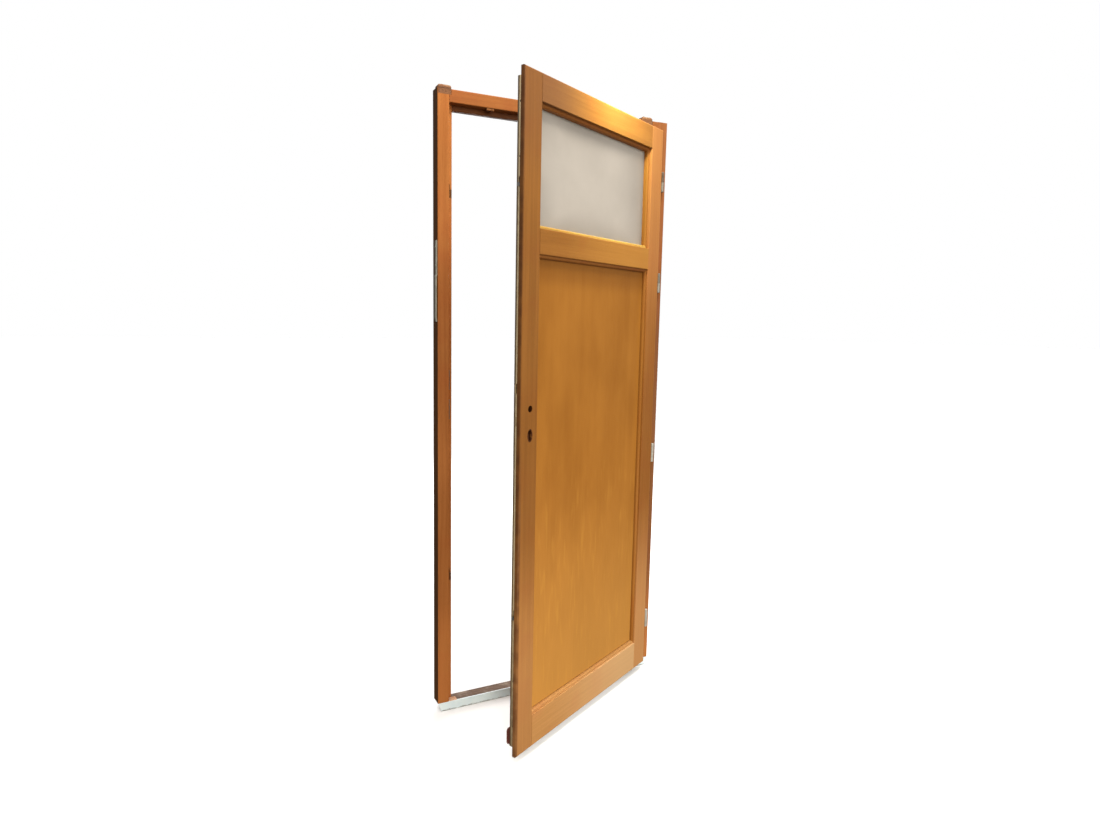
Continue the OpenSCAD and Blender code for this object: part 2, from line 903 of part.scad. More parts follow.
// Cuts a rail's ends back so that they fit round the lips of the stiles
module rail_end_cuts(low, high) {
    for (side = [0, 1])
        mirror([side, 0, 0])
            block([infill_left - overrun, leaf_front + lip_front, low - overrun],
                [infill_left + bead_width, leaf_back + overrun, high + overrun]);
}

module rail_tenons(low, high) {
    for (side = [0, 1])
        mirror([side, 0, 0])
            rail_tenon(low, high, 0);
}

// A bar between the stiles whose section's x runs down from a height
module rail_down(top, section) {
    translate([infill_left, leaf_front, top])
        rotate([0, 90, 0])
            linear_extrude(infill_right - infill_left)
                polygon(section);
}

module top_rail() {
    color(leaf_colour)
        swing() {
            difference() {
                rail_down(leaf_top, member_section(top_rail_width));
                rail_end_cuts(glass_top - bead_width, leaf_top);
            }
            rail_tenons(glass_top, body_top);
        }
}

module middle_rail() {
    color(leaf_colour)
        swing() {
            difference() {
                rail_down(glass_bottom, middle_section(middle_rail_width));
                rail_end_cuts(panel_top - bead_width, glass_bottom + bead_width);
            }
            rail_tenons(panel_top, glass_bottom);
        }
}

module bottom_rail() {
    color(leaf_colour)
        swing() {
            difference() {
                translate([infill_right, leaf_front, leaf_bottom])
                    rotate([0, -90, 0])
                        linear_extrude(infill_right - infill_left)
                            polygon(member_section(bottom_rail_width));
                rail_end_cuts(leaf_bottom, panel_bottom + bead_width);
            }
            rail_tenons(body_bottom, panel_bottom);
        }
}

// A sheet that fills an opening of the leaf and lies against the lips
module infill(bottom, top, thickness) {
    swing()
        block([infill_left + infill_clearance, leaf_front + lip_front - thickness, bottom + infill_clearance],
            [infill_right - infill_clearance, leaf_front + lip_front, top - infill_clearance]);
}

module glass_pane() {
    color(glass_colour)
        infill(glass_bottom, glass_top, glass_thickness);
}

module door_panel() {
    color(panel_colour)
        infill(panel_bottom, panel_top, panel_thickness);
}

// Section of a bead: x from the stile or rail into the opening, y from the leaf's face backwards
function bead_section(inset, thickness) = rounded([
    [0, inset, 0],
    [bead_width, inset, bead_round],
    [bead_width, lip_front - thickness, 0],
    [0, lip_front - thickness, 0]
]);

// A bead along one side of an opening, mitred at both ends by the triangle or trapezium of that side
module bead(side, bottom, top, inset, thickness) {
    middle = (bottom + top) / 2;
    half_width = (infill_right - infill_left) / 2;
    half_height = (top - bottom) / 2;
    upright = side == "lock" || side == "hinge";
    reach = upright ? half_width : half_height;
    half_run = upright ? half_height : half_width;
    turn = side == "top" ? 0 : side == "hinge" ? 90 : side == "bottom" ? 180 : 270;
    color(leaf_colour)
        swing()
            translate([0, leaf_front, middle])
                rotate([0, turn, 0])
                    intersection() {
                        translate([-half_run, 0, reach])
                            rotate([0, 90, 0])
                                linear_extrude(2 * half_run)
                                    polygon(bead_section(inset, thickness));
                        translate([0, lip_front, 0])
                            rotate([90, 0, 0])
                                linear_extrude(lip_front)
                                    polygon([
                                        [-half_run, reach],
                                        [-half_run + bead_width, reach - bead_width],
                                        [half_run - bead_width, reach - bead_width],
                                        [half_run, reach]
                                    ]);
                    }
}

module glass_bead(side) {
    bead(side, glass_bottom, glass_top, glass_bead_inset, glass_thickness);
}

module panel_bead(side) {
    bead(side, panel_bottom, panel_top, panel_bead_inset, panel_thickness);
}

module glass_bead_top() {
    glass_bead("top");
}

module glass_bead_bottom() {
    glass_bead("bottom");
}

module glass_bead_lock_side() {
    glass_bead("lock");
}

module glass_bead_hinge_side() {
    glass_bead("hinge");
}

module panel_bead_top() {
    panel_bead("top");
}

module panel_bead_bottom() {
    panel_bead("bottom");
}

module panel_bead_lock_side() {
    panel_bead("lock");
}

module panel_bead_hinge_side() {
    panel_bead("hinge");
}

// The weather bar has a sloping top, a round nose and a drip groove underneath
module weather_bar() {
    low = sill_height + weather_lift;
    high = low + weather_height;
    half_length = -jamb_inner - stop_projection - weather_end_gap;
    nose = leaf_back + weather_depth;
    color(dark_wood_colour)
        swing()
            along_x(-half_length, half_length, rounded([
                [leaf_back, high, 0],
                [leaf_back, low, 0],
                [nose - weather_lip - drip_width, low, 0],
                [nose - weather_lip - drip_width, low + drip_depth, 0],
                [nose - weather_lip, low + drip_depth, 0],
                [nose - weather_lip, low, 0],
                [nose, low, weather_lip * lip_round_share],
                [nose, high - weather_depth, weather_depth]
            ]));
}

// A folded steel case, open towards the faceplate
module lock_case() {
    color(metal_colour)
        swing()
            difference() {
                block([case_x, lock_y - case_thickness / 2, case_bottom],
                    [case_back, lock_y + case_thickness / 2, case_top]);
                block([case_x - overrun, lock_y - case_thickness / 2 + case_wall, case_bottom + case_wall],
                    [case_back - case_wall, lock_y + case_thickness / 2 - case_wall, case_top - case_wall]);
                along_y(spindle_x, lock_z, lock_y - case_thickness, lock_y + case_thickness,
                    hub_radius + pin_clearance);
                cylinder_profile(lock_y - case_thickness, lock_y + case_thickness);
            }
}

// Room for a sliding bolt in the plane of the faceplate or the rod
module bolt_window(left, right, z, below) {
    block([left, lock_y - bolt_thickness / 2 - slide_clearance, z - bolt_height / 2 - slide_clearance - below],
        [right, lock_y + bolt_thickness / 2 + slide_clearance, z + bolt_height / 2 + slide_clearance]);
}

module lock_faceplate() {
    outer = edge_x - overrun;
    inner = edge_x + faceplate_thickness + overrun;
    color(metal_colour)
        swing()
            difference() {
                block([edge_x, lock_y - faceplate_width / 2, body_bottom],
                    [edge_x + faceplate_thickness, lock_y + faceplate_width / 2, body_top]);
                bolt_window(outer, inner, latch_z, 0);
                bolt_window(outer, inner, dead_bolt_z, 0);
                for (height = cam_heights) {
                    rod_along_x(outer, inner, lock_y, height, cam_radius + slide_clearance);
                    rod_along_x(outer, inner, lock_y, height + rod_travel, cam_radius + slide_clearance);
                    block([outer, lock_y - cam_radius - slide_clearance, height],
                        [inner, lock_y + cam_radius + slide_clearance, height + rod_travel]);
                }
                faceplate_screw_set(screw_clearance);
            }
}

module faceplate_screws() {
    color(metal_colour)
        swing()
            faceplate_screw_set(0);
}

// The handle's hub: it turns in the case's two plates, and its arm draws the latch back
module follower() {
    color(metal_colour)
        swing()
            difference() {
                union() {
                    along_y(spindle_x, lock_z, lock_y - case_thickness / 2, lock_y + case_thickness / 2,
                        hub_radius);
                    along_y(spindle_x, lock_z + arm_length, lock_y - arm_thickness / 2,
                        lock_y + arm_thickness / 2, arm_radius);
                    block([spindle_x - arm_radius, lock_y - arm_thickness / 2, lock_z],
                        [spindle_x + arm_radius, lock_y + arm_thickness / 2, lock_z + arm_length]);
                }
                block([spindle_x - spindle_square / 2, lock_y - case_thickness, lock_z - spindle_square / 2],
                    [spindle_x + spindle_square / 2, lock_y + case_thickness, lock_z + spindle_square / 2]);
            }
}

// The latch: a bolt bevelled on the side that meets the frame first, and a leg down to the follower's arm
module latch_bolt() {
    tip = edge_x - latch_projection;
    leg = spindle_x + arm_radius + leg_gap;
    tail = leg + leg_thickness;
    front = lock_y - bolt_thickness / 2;
    back = lock_y + bolt_thickness / 2;
    color(metal_colour)
        swing() {
            translate([0, 0, latch_z - bolt_height / 2])
                linear_extrude(bolt_height)
                    polygon([
                        [tip, front],
                        [tail, front],
                        [tail, back],
                        [edge_x, back],
                        [tip, front + bolt_thickness * bevel_start_share]
                    ]);
            block([leg, lock_y - arm_thickness / 2, lock_z + leg_bottom],
                [tail, lock_y + arm_thickness / 2, latch_z - bolt_height / 2]);
        }
}

module dead_bolt() {
    color(metal_colour)
        swing()
            block([edge_x, lock_y - bolt_thickness / 2, dead_bolt_z - bolt_height / 2],
                [edge_x + dead_bolt_length, lock_y + bolt_thickness / 2, dead_bolt_z + bolt_height / 2]);
}

// A flat rod behind the faceplate, with windows that let both bolts through at either end of its travel
module lock_rod() {
    color(metal_colour)
        swing()
            difference() {
                block([rod_x, lock_y - rod_width / 2, cam_heights[0] - rod_end],
                    [rod_x + rod_thickness, lock_y + rod_width / 2, cam_heights[1] + rod_end]);
                bolt_window(rod_x - overrun, rod_x + rod_thickness + overrun, latch_z, rod_travel);
                bolt_window(rod_x - overrun, rod_x + rod_thickness + overrun, dead_bolt_z, rod_travel);
            }
}

module lock_cams() {
    tip = edge_x - cam_projection;
    color(metal_colour)
        swing()
            for (height = cam_heights) {
                rod_along_x(tip, rod_x, lock_y, height, cam_radius);
                rod_along_x(tip, tip + cam_head_thickness, lock_y, height, cam_head_radius);
            }
}

left_jamb();
right_jamb();
frame_head();
sill_board();
sill_strip();
sill_patch();
lock_side_block();
hinge_side_block();
latch_strike();
bolt_strike();
upper_keep();
lower_keep();
head_catch();
strike_screws();
wall_strap();
strap_screws();
bottom_hinge_base();
lower_hinge_base();
upper_hinge_base();
top_hinge_base();
hinge_pins();
lock_stile();
hinge_stile();
top_rail();
middle_rail();
bottom_rail();
glass_pane();
glass_bead_top();
glass_bead_bottom();
glass_bead_lock_side();
glass_bead_hinge_side();
door_panel();
panel_bead_top();
panel_bead_bottom();
panel_bead_lock_side();
panel_bead_hinge_side();
weather_bar();
bottom_hinge_knuckle();
lower_hinge_knuckle();
upper_hinge_knuckle();
top_hinge_knuckle();
lock_case();
lock_faceplate();
faceplate_screws();
follower();
latch_bolt();
dead_bolt();
lock_rod();
lock_cams();
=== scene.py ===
"""Looks, light and camera for a glazed wooden back door that stands ajar in its frame.

Lengths are metres in the part's own frame: X along the doorway, Y from inside outwards, Z up, and the
origin under the middle of the sill.
"""
import math

import bpy
import numpy as np
from mathutils import Matrix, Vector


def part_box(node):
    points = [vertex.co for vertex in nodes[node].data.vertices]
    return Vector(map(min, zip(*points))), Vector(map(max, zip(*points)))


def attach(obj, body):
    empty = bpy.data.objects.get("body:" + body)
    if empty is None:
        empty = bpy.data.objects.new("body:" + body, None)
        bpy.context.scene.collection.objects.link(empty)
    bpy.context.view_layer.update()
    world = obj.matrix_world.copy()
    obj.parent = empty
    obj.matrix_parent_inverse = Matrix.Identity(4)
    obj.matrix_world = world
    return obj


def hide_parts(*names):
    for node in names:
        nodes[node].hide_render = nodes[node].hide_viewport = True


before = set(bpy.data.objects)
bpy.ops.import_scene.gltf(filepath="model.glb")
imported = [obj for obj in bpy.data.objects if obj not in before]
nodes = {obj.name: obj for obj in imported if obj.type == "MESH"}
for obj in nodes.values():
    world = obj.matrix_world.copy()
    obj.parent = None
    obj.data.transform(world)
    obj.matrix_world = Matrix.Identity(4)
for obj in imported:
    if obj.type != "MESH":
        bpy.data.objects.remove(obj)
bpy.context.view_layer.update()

# Places on the frame
HINGE_X, HINGE_Y = 0.427, -0.0345
UPPER_HINGE_Z, TOP_HINGE_Z = 1.532, 1.901
OPEN_ANGLE = math.radians(26.0)
FRAME_HALF = 0.450
FRAME_TOP = 2.117
FRAME_FACE = 0.041
SILL_TOP = 0.032
STRIKE_FACE_X = -0.407
STRAP_MIDDLE = -0.0085

# Places on the leaf, with X and Y counted from the hinge axis while the leaf is closed
LEAF_FACE, LEAF_BACK = -0.004, 0.036
FLANGE_EDGE_HINGE, FLANGE_EDGE_LOCK = -0.010, -0.844
BODY_EDGE_LOCK = -0.826
STILE_WIDTH = 0.083
JOINT_LOCK, JOINT_HINGE = FLANGE_EDGE_LOCK + STILE_WIDTH, FLANGE_EDGE_HINGE - STILE_WIDTH
GLASS_TOP, GLASS_BOTTOM = 2.005, 1.652
PANEL_BOTTOM = 0.134
PANEL_RIM_LOW, PANEL_RIM_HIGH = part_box("panel_bead_bottom")[1][2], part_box("panel_bead_top")[0][2]
PANEL_RIM_LOCK = JOINT_LOCK + PANEL_RIM_LOW - PANEL_BOTTOM
PANEL_RIM_HINGE = JOINT_HINGE - PANEL_RIM_LOW + PANEL_BOTTOM
LOCK_X, SPINDLE_Z, CYLINDER_Z = -0.796, 1.122, 1.050
PLATE_MIDDLE = 0.0235


def srgb(red, green, blue):
    """A colour given in 0 to 255 display values, as the linear values that shaders take."""
    values = np.array([red, green, blue], float) / 255
    linear = np.where(values <= 0.04045, values / 12.92, ((values + 0.055) / 1.055) ** 2.4)
    return (*map(float, linear), 1.0)


class Field:
    """A value, vector or colour that varies over a surface. Arithmetic on fields adds Math nodes."""

    def __init__(self, tree, socket):
        self.tree = tree
        self.socket = socket

    def make(self, kind, settings, sockets, out=0):
        """Adds a node: its settings first, then the numbers or fields of its sockets."""
        node = self.tree.nodes.new("ShaderNode" + kind)
        for key, value in settings.items():
            setattr(node, key, value)
        for key, value in sockets.items():
            if isinstance(value, Field):
                self.tree.links.new(value.socket, node.inputs[key])
            else:
                node.inputs[key].default_value = value
        return Field(self.tree, node.outputs[out])

    def math(self, operation, *values):
        return self.make("Math", {"operation": operation}, dict(enumerate((self, *values))))

    def __add__(self, other):
        return self.math("ADD", other)

    __radd__ = __add__

    def __mul__(self, other):
        return self.math("MULTIPLY", other)

    __rmul__ = __mul__

    def __sub__(self, other):
        return self.math("SUBTRACT", other)

    def __rsub__(self, other):
        return (self * -1.0) + other

    def __pow__(self, other):
        return self.math("POWER", other)

    def __abs__(self):
        return self.math("ABSOLUTE")

    def least(self, other):
        return self.math("MINIMUM", other)

    def most(self, other):
        return self.math("MAXIMUM", other)

    def ease(self, low, high):
        """Rises smoothly from 0 at low to 1 at high, or falls where low is the greater."""
        if low > high:
            return 1 - self.ease(high, low)
        return self.make("MapRange", {"interpolation_type": "SMOOTHSTEP"},
                         {"Value": self, "From Min": low, "From Max": high})

    def blend(self, first, second):
        """A colour that goes from first to second as this field goes from 0 to 1."""
        return self.make("Mix", {"data_type": "RGBA"}, {0: self, 6: first, 7: second}, 2)

    def cover(self, colour, tone):
        """A colour covered by a tone, given in display values, as far as this field says."""
        return self.blend(colour, srgb(*tone))

    def parts(self):
        """The three parts of a vector."""
        split = self.make("SeparateXYZ", {}, {0: self}).socket.node
        return [Field(self.tree, socket) for socket in split.outputs]

    def joined(self, second, third):
        """A vector from three numbers, of which this is the first."""
        return self.make("CombineXYZ", {}, {0: self, 1: second, 2: third})

    def noise(self, scale, detail=2.0, roughness=0.5):
        """Noise from 0 to 1 at this vector."""
        return self.make("TexNoise", {}, {"Vector": self, "Scale": scale, "Detail": detail,
                                          "Roughness": roughness})


def finish(name, build, depth=0.0005, **fixed):
    """A Principled finish. build(point) gives its varying sockets from Object coordinates, "Relief" among
    them: a height from 0 to 1 that stands for that depth. fixed holds the sockets that are the same all
    over."""
    material = bpy.data.materials.new(name)
    material.use_nodes = True
    tree = material.node_tree
    tree.nodes.clear()
    point = Field(tree, tree.nodes.new("ShaderNodeTexCoord").outputs["Object"])
    varying = build(point)
    relief = varying.pop("Relief", None)
    if relief is not None:
        varying["Normal"] = relief.make("Bump", {}, {"Strength": 1.0, "Distance": depth, "Height": relief})
    constant = {key.replace("_", " "): value for key, value in fixed.items()}
    shader = point.make("BsdfPrincipled", {}, {**varying, **constant})
    output = tree.nodes.new("ShaderNodeOutputMaterial")
    tree.links.new(shader.socket, output.inputs["Surface"])
    return material


def leaf_place(point):
    """Turns a place back to the closed leaf, counted from the hinge axis: -X to the lock, +Y outwards."""
    c, s = math.cos(-OPEN_ANGLE), math.sin(-OPEN_ANGLE)
    shift = (-(c * HINGE_X - s * HINGE_Y), -(s * HINGE_X + c * HINGE_Y), 0.0)
    return point.make("Mapping", {}, {"Vector": point, "Location": shift,
                                      "Rotation": (0.0, 0.0, -OPEN_ANGLE)})


# A board's noise: scales per metre, and how far each kind is drawn out along the grain
WAVER_SCALE, BAND_SCALE, FIBRE_SCALE, PORE_SCALE, TONE_SCALE = 4.0, 85.0, 620.0, 1300.0, 9.0
WAVER_RUN, BAND_RUN, FIBRE_RUN, PORE_RUN, TONE_RUN = 0.25, 0.016, 0.02, 0.05, 0.2
WAVER_REACH = 0.03
SEED_RUN, SEED_ACROSS = 0.61, 0.37

# What bands, fibres and tone add to a board's darkness, and what reddish patches and pores cover
BAND_SHARE, FIBRE_SHARE, TONE_SHARE = 0.36, 0.24, 0.40
RUDDY_SHARE, PORE_SHARE = 0.35, 0.30
RUDDY_TINT = (1.08, 0.96, 1.02)
PORE_TINT = 0.5
VARNISH_ROUGHNESS = 0.32
VARNISH = dict(Coat_Roughness=0.3)


def grain(place, along, seed):
    """Fields of a planed board whose grain runs along X or Z: growth bands of uneven width that waver along
    the board, fine fibres, short dark pores and a slow change of tone."""
    x, y, z = place.parts()
    run, across = (x, z) if along == "X" else (z, x)
    run, across = run + seed * SEED_RUN, across + seed * SEED_ACROSS
    waver = across.joined(y, run * WAVER_RUN).noise(WAVER_SCALE, 1.0) - 0.5
    bands = (across + waver * WAVER_REACH).joined(y * 0.7, run * BAND_RUN).noise(BAND_SCALE, 3.0, 0.55)
    fibres = across.joined(y, run * FIBRE_RUN).noise(FIBRE_SCALE, 3.0, 0.6)
    pores = across.joined(y, run * PORE_RUN).noise(PORE_SCALE, 1.0).ease(0.62, 0.76)
    tone = across.joined(y, run * TONE_RUN).noise(TONE_SCALE, 2.0)
    return bands.ease(0.34, 0.66), fibres.ease(0.28, 0.72), pores, tone.ease(0.3, 0.7)


def wood(name, along, tones, seed, leaf=False, marks=None, shine=0.09, coat=0.03):
    """Varnished wood between a light and a dark tone. marks(place, colour) may add this board's own dirt
    and wear, and painted light and shade, to its colour."""
    light, dark = tones

    def build(point):
        place = leaf_place(point) if leaf else point
        bands, fibres, pores, tone = grain(place, along, seed)
        depth = bands * BAND_SHARE + fibres * FIBRE_SHARE + tone * TONE_SHARE
        colour = depth.blend(srgb(*light), srgb(*dark))
        ruddy = place.noise(6.0 + seed * 0.1, 2.0).ease(0.45, 0.7)
        colour = (ruddy * RUDDY_SHARE).cover(colour, [v * tint for v, tint in zip(dark, RUDDY_TINT)])
        colour = (pores * PORE_SHARE).cover(colour, [v * PORE_TINT for v in dark])
        if marks:
            colour = marks(place, colour)
        return {"Base Color": colour,
                "Roughness": fibres * 0.10 + tone * 0.06 + VARNISH_ROUGHNESS + pores * 0.1,
                "Relief": fibres * 0.5 - pores * 0.5 + bands * 0.3}

    return finish(name, build, depth=0.00016, Coat_Weight=coat, Specular_IOR_Level=shine, **VARNISH)


def metal(name, base, dark, seed, rough=0.38, metallic=0.85, marks=None):
    """Plated steel: cloudy tone, fine upright scratches and small dull spots. marks(place, colour) may add
    stains and painted shade."""

    def build(point):
        x, y, z = point.parts()
        drawn = (x + seed).joined(y, z * 0.08)
        scratches = drawn.noise(900.0, 2.0, 0.6)
        clouds = point.noise(35.0 + seed, 3.0)
        spots = point.noise(260.0, 2.0).ease(0.66, 0.76)
        colour = (clouds.ease(0.3, 0.75) * 0.8 + spots * 0.4).blend(srgb(*base), srgb(*dark))
        if marks:
            colour = marks(point, colour)
        return {"Base Color": colour, "Roughness": scratches * 0.22 + clouds * 0.12 + (rough - 0.17),
                "Relief": scratches}

    return finish(name, build, depth=0.00008, Metallic=metallic)


# Light and dark tones of each wood, in display values
FRAME_WOOD = (182, 117, 65), (150, 90, 46)
# The head's tones are a darker copy of the frame wood's: painted shade
SHADED_HEAD_WOOD = (164, 102, 50), (136, 79, 36)
HINGE_JAMB_WOOD = (165, 107, 65), (138, 85, 48)
LEAF_WOOD = (154, 102, 46), (129, 82, 34)
LOCK_STILE_WOOD = (149, 98, 45), (124, 79, 34)
HINGE_STILE_WOOD = (160, 104, 48), (135, 84, 36)
# The bottom rail's tones, also used on the panel's bottom bead, are a lighter copy of the leaf wood's:
# painted light from below
LIT_LOW_RAIL_WOOD = (180, 131, 79), (156, 111, 63)
BEAD_WOOD = (156, 102, 42), (132, 82, 31)
# The top beads' tones are a slightly darker, duller copy of the bead wood's: painted shade
SHADED_TOP_BEAD_WOOD = (152, 98, 46), (130, 79, 35)
# The bottom glass bead's tones are a lighter copy of the bead wood's: painted light from above
LIT_LOW_BEAD_WOOD = (188, 150, 74), (164, 128, 60)

# Heights between which a mark grows from nothing to its full strength
JAMB_DULL_BELOW, JAMB_DULL_ABOVE = (0.95, 0.75), (0.28, 0.42)
HINGE_JAMB_DULL_BELOW, HINGE_JAMB_DULL_ABOVE = (1.65, 1.30), (0.10, 0.50)
JAMB_FOOT_LIGHT = (0.45, 0.05)
JAMB_GRIME = (SILL_TOP + 0.03, SILL_TOP)
STILE_SHADE_BELOW, STILE_SHADE_ABOVE = (1.30, 1.05), (0.45, 0.75)
STILE_TOP_SHADE, STILE_TOP_LIGHT = (1.70, 2.00), (1.30, 1.65)
STILE_FOOT_LIGHT = (0.75, 0.22)
WIDE_ARRIS_BELOW = (1.15, 0.65)
PANEL_FOOT_LIGHT, PANEL_FLECKS, PANEL_TOP_SHADE = (0.95, 0.10), (1.15, 0.55), (1.475, 1.535)
PLATE_GRIME = (0.55, 0.20)
SHADED_HINGES, TOP_HINGE = (1.35, 1.45), (1.70, 1.72)
BLOCK_SCUFF = (FRAME_TOP + 0.004, FRAME_TOP + 0.013)

# Places along the leaf, and along the doorway for the jambs, between which a mark grows
HINGE_STILE_SIDE, RIGHT_JAMB_SIDE = (-0.30, -0.20), (0.2, 0.3)
SHADE_TO_LOCK_SIDE, LIGHT_TO_HINGE_SIDE = (-0.45, -0.72), (-0.72, -0.15)

# Distances from an edge or a line between which a mark grows, and other small sizes
SKIN_FROM, SKIN_FULL = 0.0012, 0.0004
CLEAN_LINE = 0.001
HEAD_REBATE, STILE_REBATE = (-0.021, -0.016), (0.008, 0.012)
ARRIS, WIDE_ARRIS = 0.004, 0.011
JOINT_LINE, PANEL_LINE = (0.0014, 0.0003), (0.0030, 0.0008)
HOLE_FRONT, HOLE_NEAR = (LEAF_FACE + 0.0005, LEAF_FACE + 0.003), (0.03, 0.02)
KEY_RING, KEY_DROP, KEY_SQUASH = (0.0135, 0.0115), 0.008, 0.62
GLASS_SIDES, GLASS_ENDS = (0.10, 0.34), (0.08, 0.18)
PLATE_BACK_EDGE = (PLATE_MIDDLE + 0.0042, PLATE_MIDDLE + 0.0062)
PLATE_FRONT_EDGE = (PLATE_MIDDLE - 0.0066, PLATE_MIDDLE - 0.0086)
STRAP_REAR_HALF = (STRAP_MIDDLE - 0.001, STRAP_MIDDLE + 0.002)
STRIP_LOWER_EDGE = (0.006, 0.0)
VENEER_LEAVES = 6.3


def jamb_marks(place, colour):
    """Painted shadow of the leaf at mid height, darker still on the hinge side; painted light towards the
    foot with a little grime at the very end, and a dark outer face that is partly bare wood and partly
    painted shade."""
    x, _, z = place.parts()
    # Darker still at mid height on the hinge jamb
    dull = x.ease(*RIGHT_JAMB_SIDE) * z.ease(*HINGE_JAMB_DULL_BELOW) * z.ease(*HINGE_JAMB_DULL_ABOVE)
    colour = (dull * 0.5).cover(colour, (104, 74, 54))
    # Painted shadow of the leaf at mid height
    colour = (z.ease(*JAMB_DULL_BELOW) * z.ease(*JAMB_DULL_ABOVE) * 0.25).cover(colour, (110, 66, 32))
    # Painted light towards the foot
    colour = (z.ease(*JAMB_FOOT_LIGHT) * 0.35).cover(colour, (196, 126, 68))
    low = z.ease(*JAMB_GRIME) * place.noise(30.0, 3.0).ease(0.35, 0.75) * 0.4
    colour = low.cover(colour, (86, 52, 32))
    # Dark outer face: partly bare wood, partly painted shade
    outer = abs(x).ease(FRAME_HALF - SKIN_FROM, FRAME_HALF - SKIN_FULL)
    return (outer * 0.9).cover(colour, (62, 42, 26))


def head_rebate_shade(place, colour):
    """Painted shade on the rebate and stop under the head."""
    _, y, z = place.parts()
    edge = FRAME_TOP - FRAME_FACE
    # Painted shade on the rebate and stop
    low = z.ease(edge + CLEAN_LINE, edge - CLEAN_LINE) * y.ease(*HEAD_REBATE)
    return (low * (place.noise(40.0, 3.0) * 0.3 + 0.5)).cover(colour, (70, 39, 21))


def stile_marks(place, colour):
    """Painted shade at mid height and at the lock stile's top, painted light at the foot and at the hinge
    stile's top; painted shade on the flange edges, in the rebate and in the handle's and the key's holes,
    and a dark stained rim round the key's hole that also stands in for its shade."""
    x, y, z = place.parts()
    hinge_side = x.ease(*HINGE_STILE_SIDE)
    # Painted shade at mid height
    colour = (z.ease(*STILE_SHADE_BELOW) * z.ease(*STILE_SHADE_ABOVE) * 0.30).cover(colour, (112, 68, 26))
    # Painted light at the hinge stile's top
    colour = (hinge_side * z.ease(*STILE_TOP_LIGHT) * 0.45).cover(colour, (188, 126, 74))
    # Painted shade at the lock stile's top
    colour = ((1 - hinge_side) * z.ease(*STILE_TOP_SHADE) * 0.5).cover(colour, (107, 68, 42))
    # Painted light towards the foot
    colour = ((hinge_side * 0.24 + 0.28) * z.ease(*STILE_FOOT_LIGHT)).cover(colour, (200, 150, 100))
    aside = (x - LOCK_X) ** 2.0
    spindle = (aside + (z - SPINDLE_Z) ** 2.0) ** 0.5
    key = (aside + ((z - CYLINDER_Z + KEY_DROP) * KEY_SQUASH) ** 2.0) ** 0.5
    # Painted shade inside the handle's and the key's holes
    hole = y.ease(*HOLE_FRONT) * spindle.least(key).ease(*HOLE_NEAR)
    hole = hole * y.ease(LEAF_BACK - SKIN_FULL, LEAF_BACK - SKIN_FROM)
    # A dark stained rim round the key's hole, which also stands in for the hole's shade
    ring = key.ease(*KEY_RING) * place.noise(160.0, 2.0).ease(0.2, 0.5)
    colour = (ring.most(hole) * 0.9).cover(colour, (52, 22, 12))
    # Painted shade in the rebate beside the faceplate
    rebate = x.ease(BODY_EDGE_LOCK + SKIN_FROM, BODY_EDGE_LOCK + SKIN_FULL) * y.ease(*STILE_REBATE)
    colour = (rebate * 0.85).cover(colour, (58, 34, 20))
    # Painted shade on the flange edges, wider low on the lock side
    lock_arris = x.ease(FLANGE_EDGE_LOCK + ARRIS, FLANGE_EDGE_LOCK)
    hinge_arris = x.ease(FLANGE_EDGE_HINGE - ARRIS, FLANGE_EDGE_HINGE)
    wide_arris = x.ease(FLANGE_EDGE_LOCK + WIDE_ARRIS, FLANGE_EDGE_LOCK + ARRIS) * z.ease(*WIDE_ARRIS_BELOW)
    edge = (lock_arris + hinge_arris).most(wide_arris)
    return (edge * (place.noise(24.0, 3.0).ease(0.3, 0.7) * 0.35 + 0.5)).cover(colour, (80, 48, 28))


def rail_marks(across, share, tone):
    """The marks of a rail: another tone that grows across the leaf, painted shade on the top rail and painted
    light on the others, and a thin dark line at each stile.
    """

    def marks(place, colour):
        x = place.parts()[0]
        # Another tone across the rail: painted shade on the top rail, painted light on the middle and bottom
        # rails
        colour = (x.ease(*across) * share).cover(colour, tone)
        line = abs(x - JOINT_LOCK).least(abs(x - JOINT_HINGE)).ease(*JOINT_LINE)
        return (line * 0.22).cover(colour, (92, 50, 24))

    return marks


